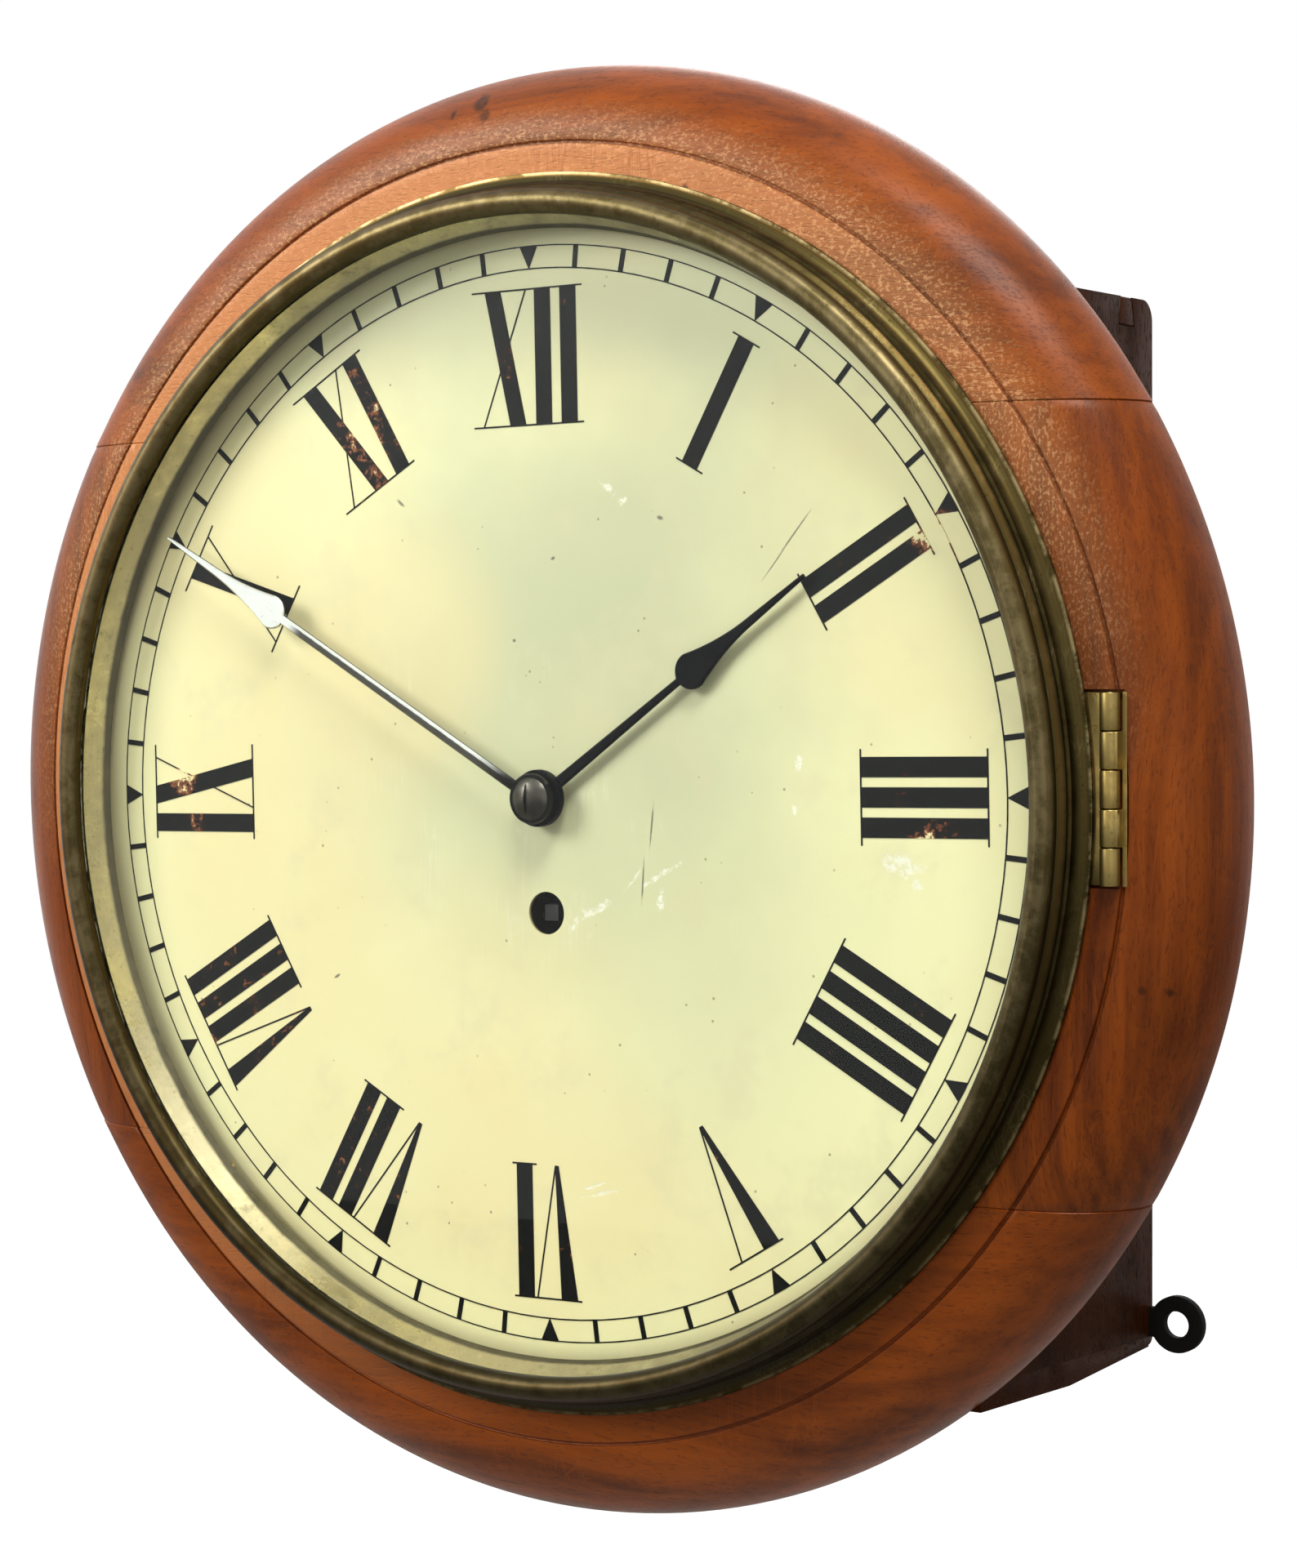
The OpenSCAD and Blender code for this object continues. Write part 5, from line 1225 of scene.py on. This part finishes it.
def add_lamp(name, place_, width, height, power):
    lamp = bpy.data.lights.new(name, "AREA")
    lamp.shape, lamp.size, lamp.size_y, lamp.energy = "RECTANGLE", width, height, power
    obj = bpy.data.objects.new(name, lamp)
    obj.location = place_
    aim = Vector((0, -0.1, 0)) - Vector(place_)
    obj.rotation_euler = aim.to_track_quat("-Z", "Y").to_euler()
    bpy.context.scene.collection.objects.link(obj)


class CLOCK_OT_stage(bpy.types.Operator):
    """Sets the pale floor, the white surroundings, the soft lamps and the camera"""
    bl_idname = "clock.stage"
    bl_label = "Stage"

    def execute(self, context):
        scene, c = context.scene, context.scene.clock_colours
        half, low = 5.0, -1.1
        mesh = bpy.data.meshes.new("floor")
        mesh.from_pydata([(-half, -half, low), (half, -half, low), (half, half, low),
                          (-half, half, low)], [], [(0, 1, 2, 3)])
        floor = bpy.data.objects.new("floor", mesh)
        scene.collection.objects.link(floor)
        material, shader, vector = blank("floor_paint")
        mesh.materials.append(material)
        path = place(vector.tree, "ShaderNodeLightPath")
        feed(shader, {
            "Base Color": mixed(grainy(vector, 3, 3), c.floor, tone("c4c4c0")), "Roughness": 0.9,
            "Emission Color": mixed(path["Is Camera Ray"], (0, 0, 0), (0.9, 0.9, 0.9)),
            "Emission Strength": 1.0})
        see_through(shader, place(vector.tree, "ShaderNodeNewGeometry")["Backfacing"])

        world = bpy.data.worlds.new("white_room")
        scene.world = world
        world.use_nodes = True
        tree = world.node_tree
        tree.nodes.clear()
        path = place(tree, "ShaderNodeLightPath")
        seen = larger(path["Is Camera Ray"],
                      larger(path["Is Glossy Ray"], path["Is Transmission Ray"]))
        glow = place(tree, "ShaderNodeBackground",
                     {"Color": (1, 1, 1), "Strength": 0.24 + seen * 0.76})[0]
        place(tree, "ShaderNodeOutputWorld", {"Surface": glow})

        for name, (place_, width, height, power) in LAMPS.items():
            add_lamp(name, place_, width, height, power)

        lens = bpy.data.cameras.new("camera")
        lens.sensor_width, lens.lens = 36, CAMERA["lens"]
        lens.clip_start, lens.clip_end = 0.05, 50
        camera = bpy.data.objects.new("camera", lens)
        backward = [-v for v in CAMERA["ahead"]]
        rows = Matrix((CAMERA["right"], CAMERA["up"], backward)).transposed()
        camera.matrix_world = Matrix.Translation(CAMERA["place"]) @ rows.to_4x4()
        scene.collection.objects.link(camera)
        scene.camera = camera
        scene.view_settings.view_transform = "Standard"
        return {"FINISHED"}


class CLOCK_PT_panel(bpy.types.Panel):
    """Lists the steps that build the clock"""
    bl_idname = "CLOCK_PT_panel"
    bl_label = "Dial Clock"
    bl_space_type = "VIEW_3D"
    bl_region_type = "UI"
    bl_category = "Dial Clock"

    def draw(self, context):
        for step in STEPS:
            self.layout.operator(step.bl_idname)
        for group in (context.scene.clock_sizes, context.scene.clock_colours):
            box = self.layout.box()
            for name in group.__annotations__:
                box.prop(group, name)


STEPS = (CLOCK_OT_surround, CLOCK_OT_box, CLOCK_OT_fittings, CLOCK_OT_doors, CLOCK_OT_bezel,
         CLOCK_OT_bezel_hinge, CLOCK_OT_glass, CLOCK_OT_dial, CLOCK_OT_hands, CLOCK_OT_movement,
         CLOCK_OT_pendulum, CLOCK_OT_stage)
CLASSES = (ClockSizes, ClockColours, *STEPS, CLOCK_PT_panel)


def register():
    for cls in CLASSES:
        bpy.utils.register_class(cls)
    bpy.types.Scene.clock_sizes = PointerProperty(type=ClockSizes)
    bpy.types.Scene.clock_colours = PointerProperty(type=ClockColours)


def unregister():
    del bpy.types.Scene.clock_colours
    del bpy.types.Scene.clock_sizes
    for cls in reversed(CLASSES):
        bpy.utils.unregister_class(cls)


def main():
    register()
    for step in STEPS:
        group, name = step.bl_idname.split(".")
        getattr(getattr(bpy.ops, group), name)()


if __name__ == "__main__":
    main()
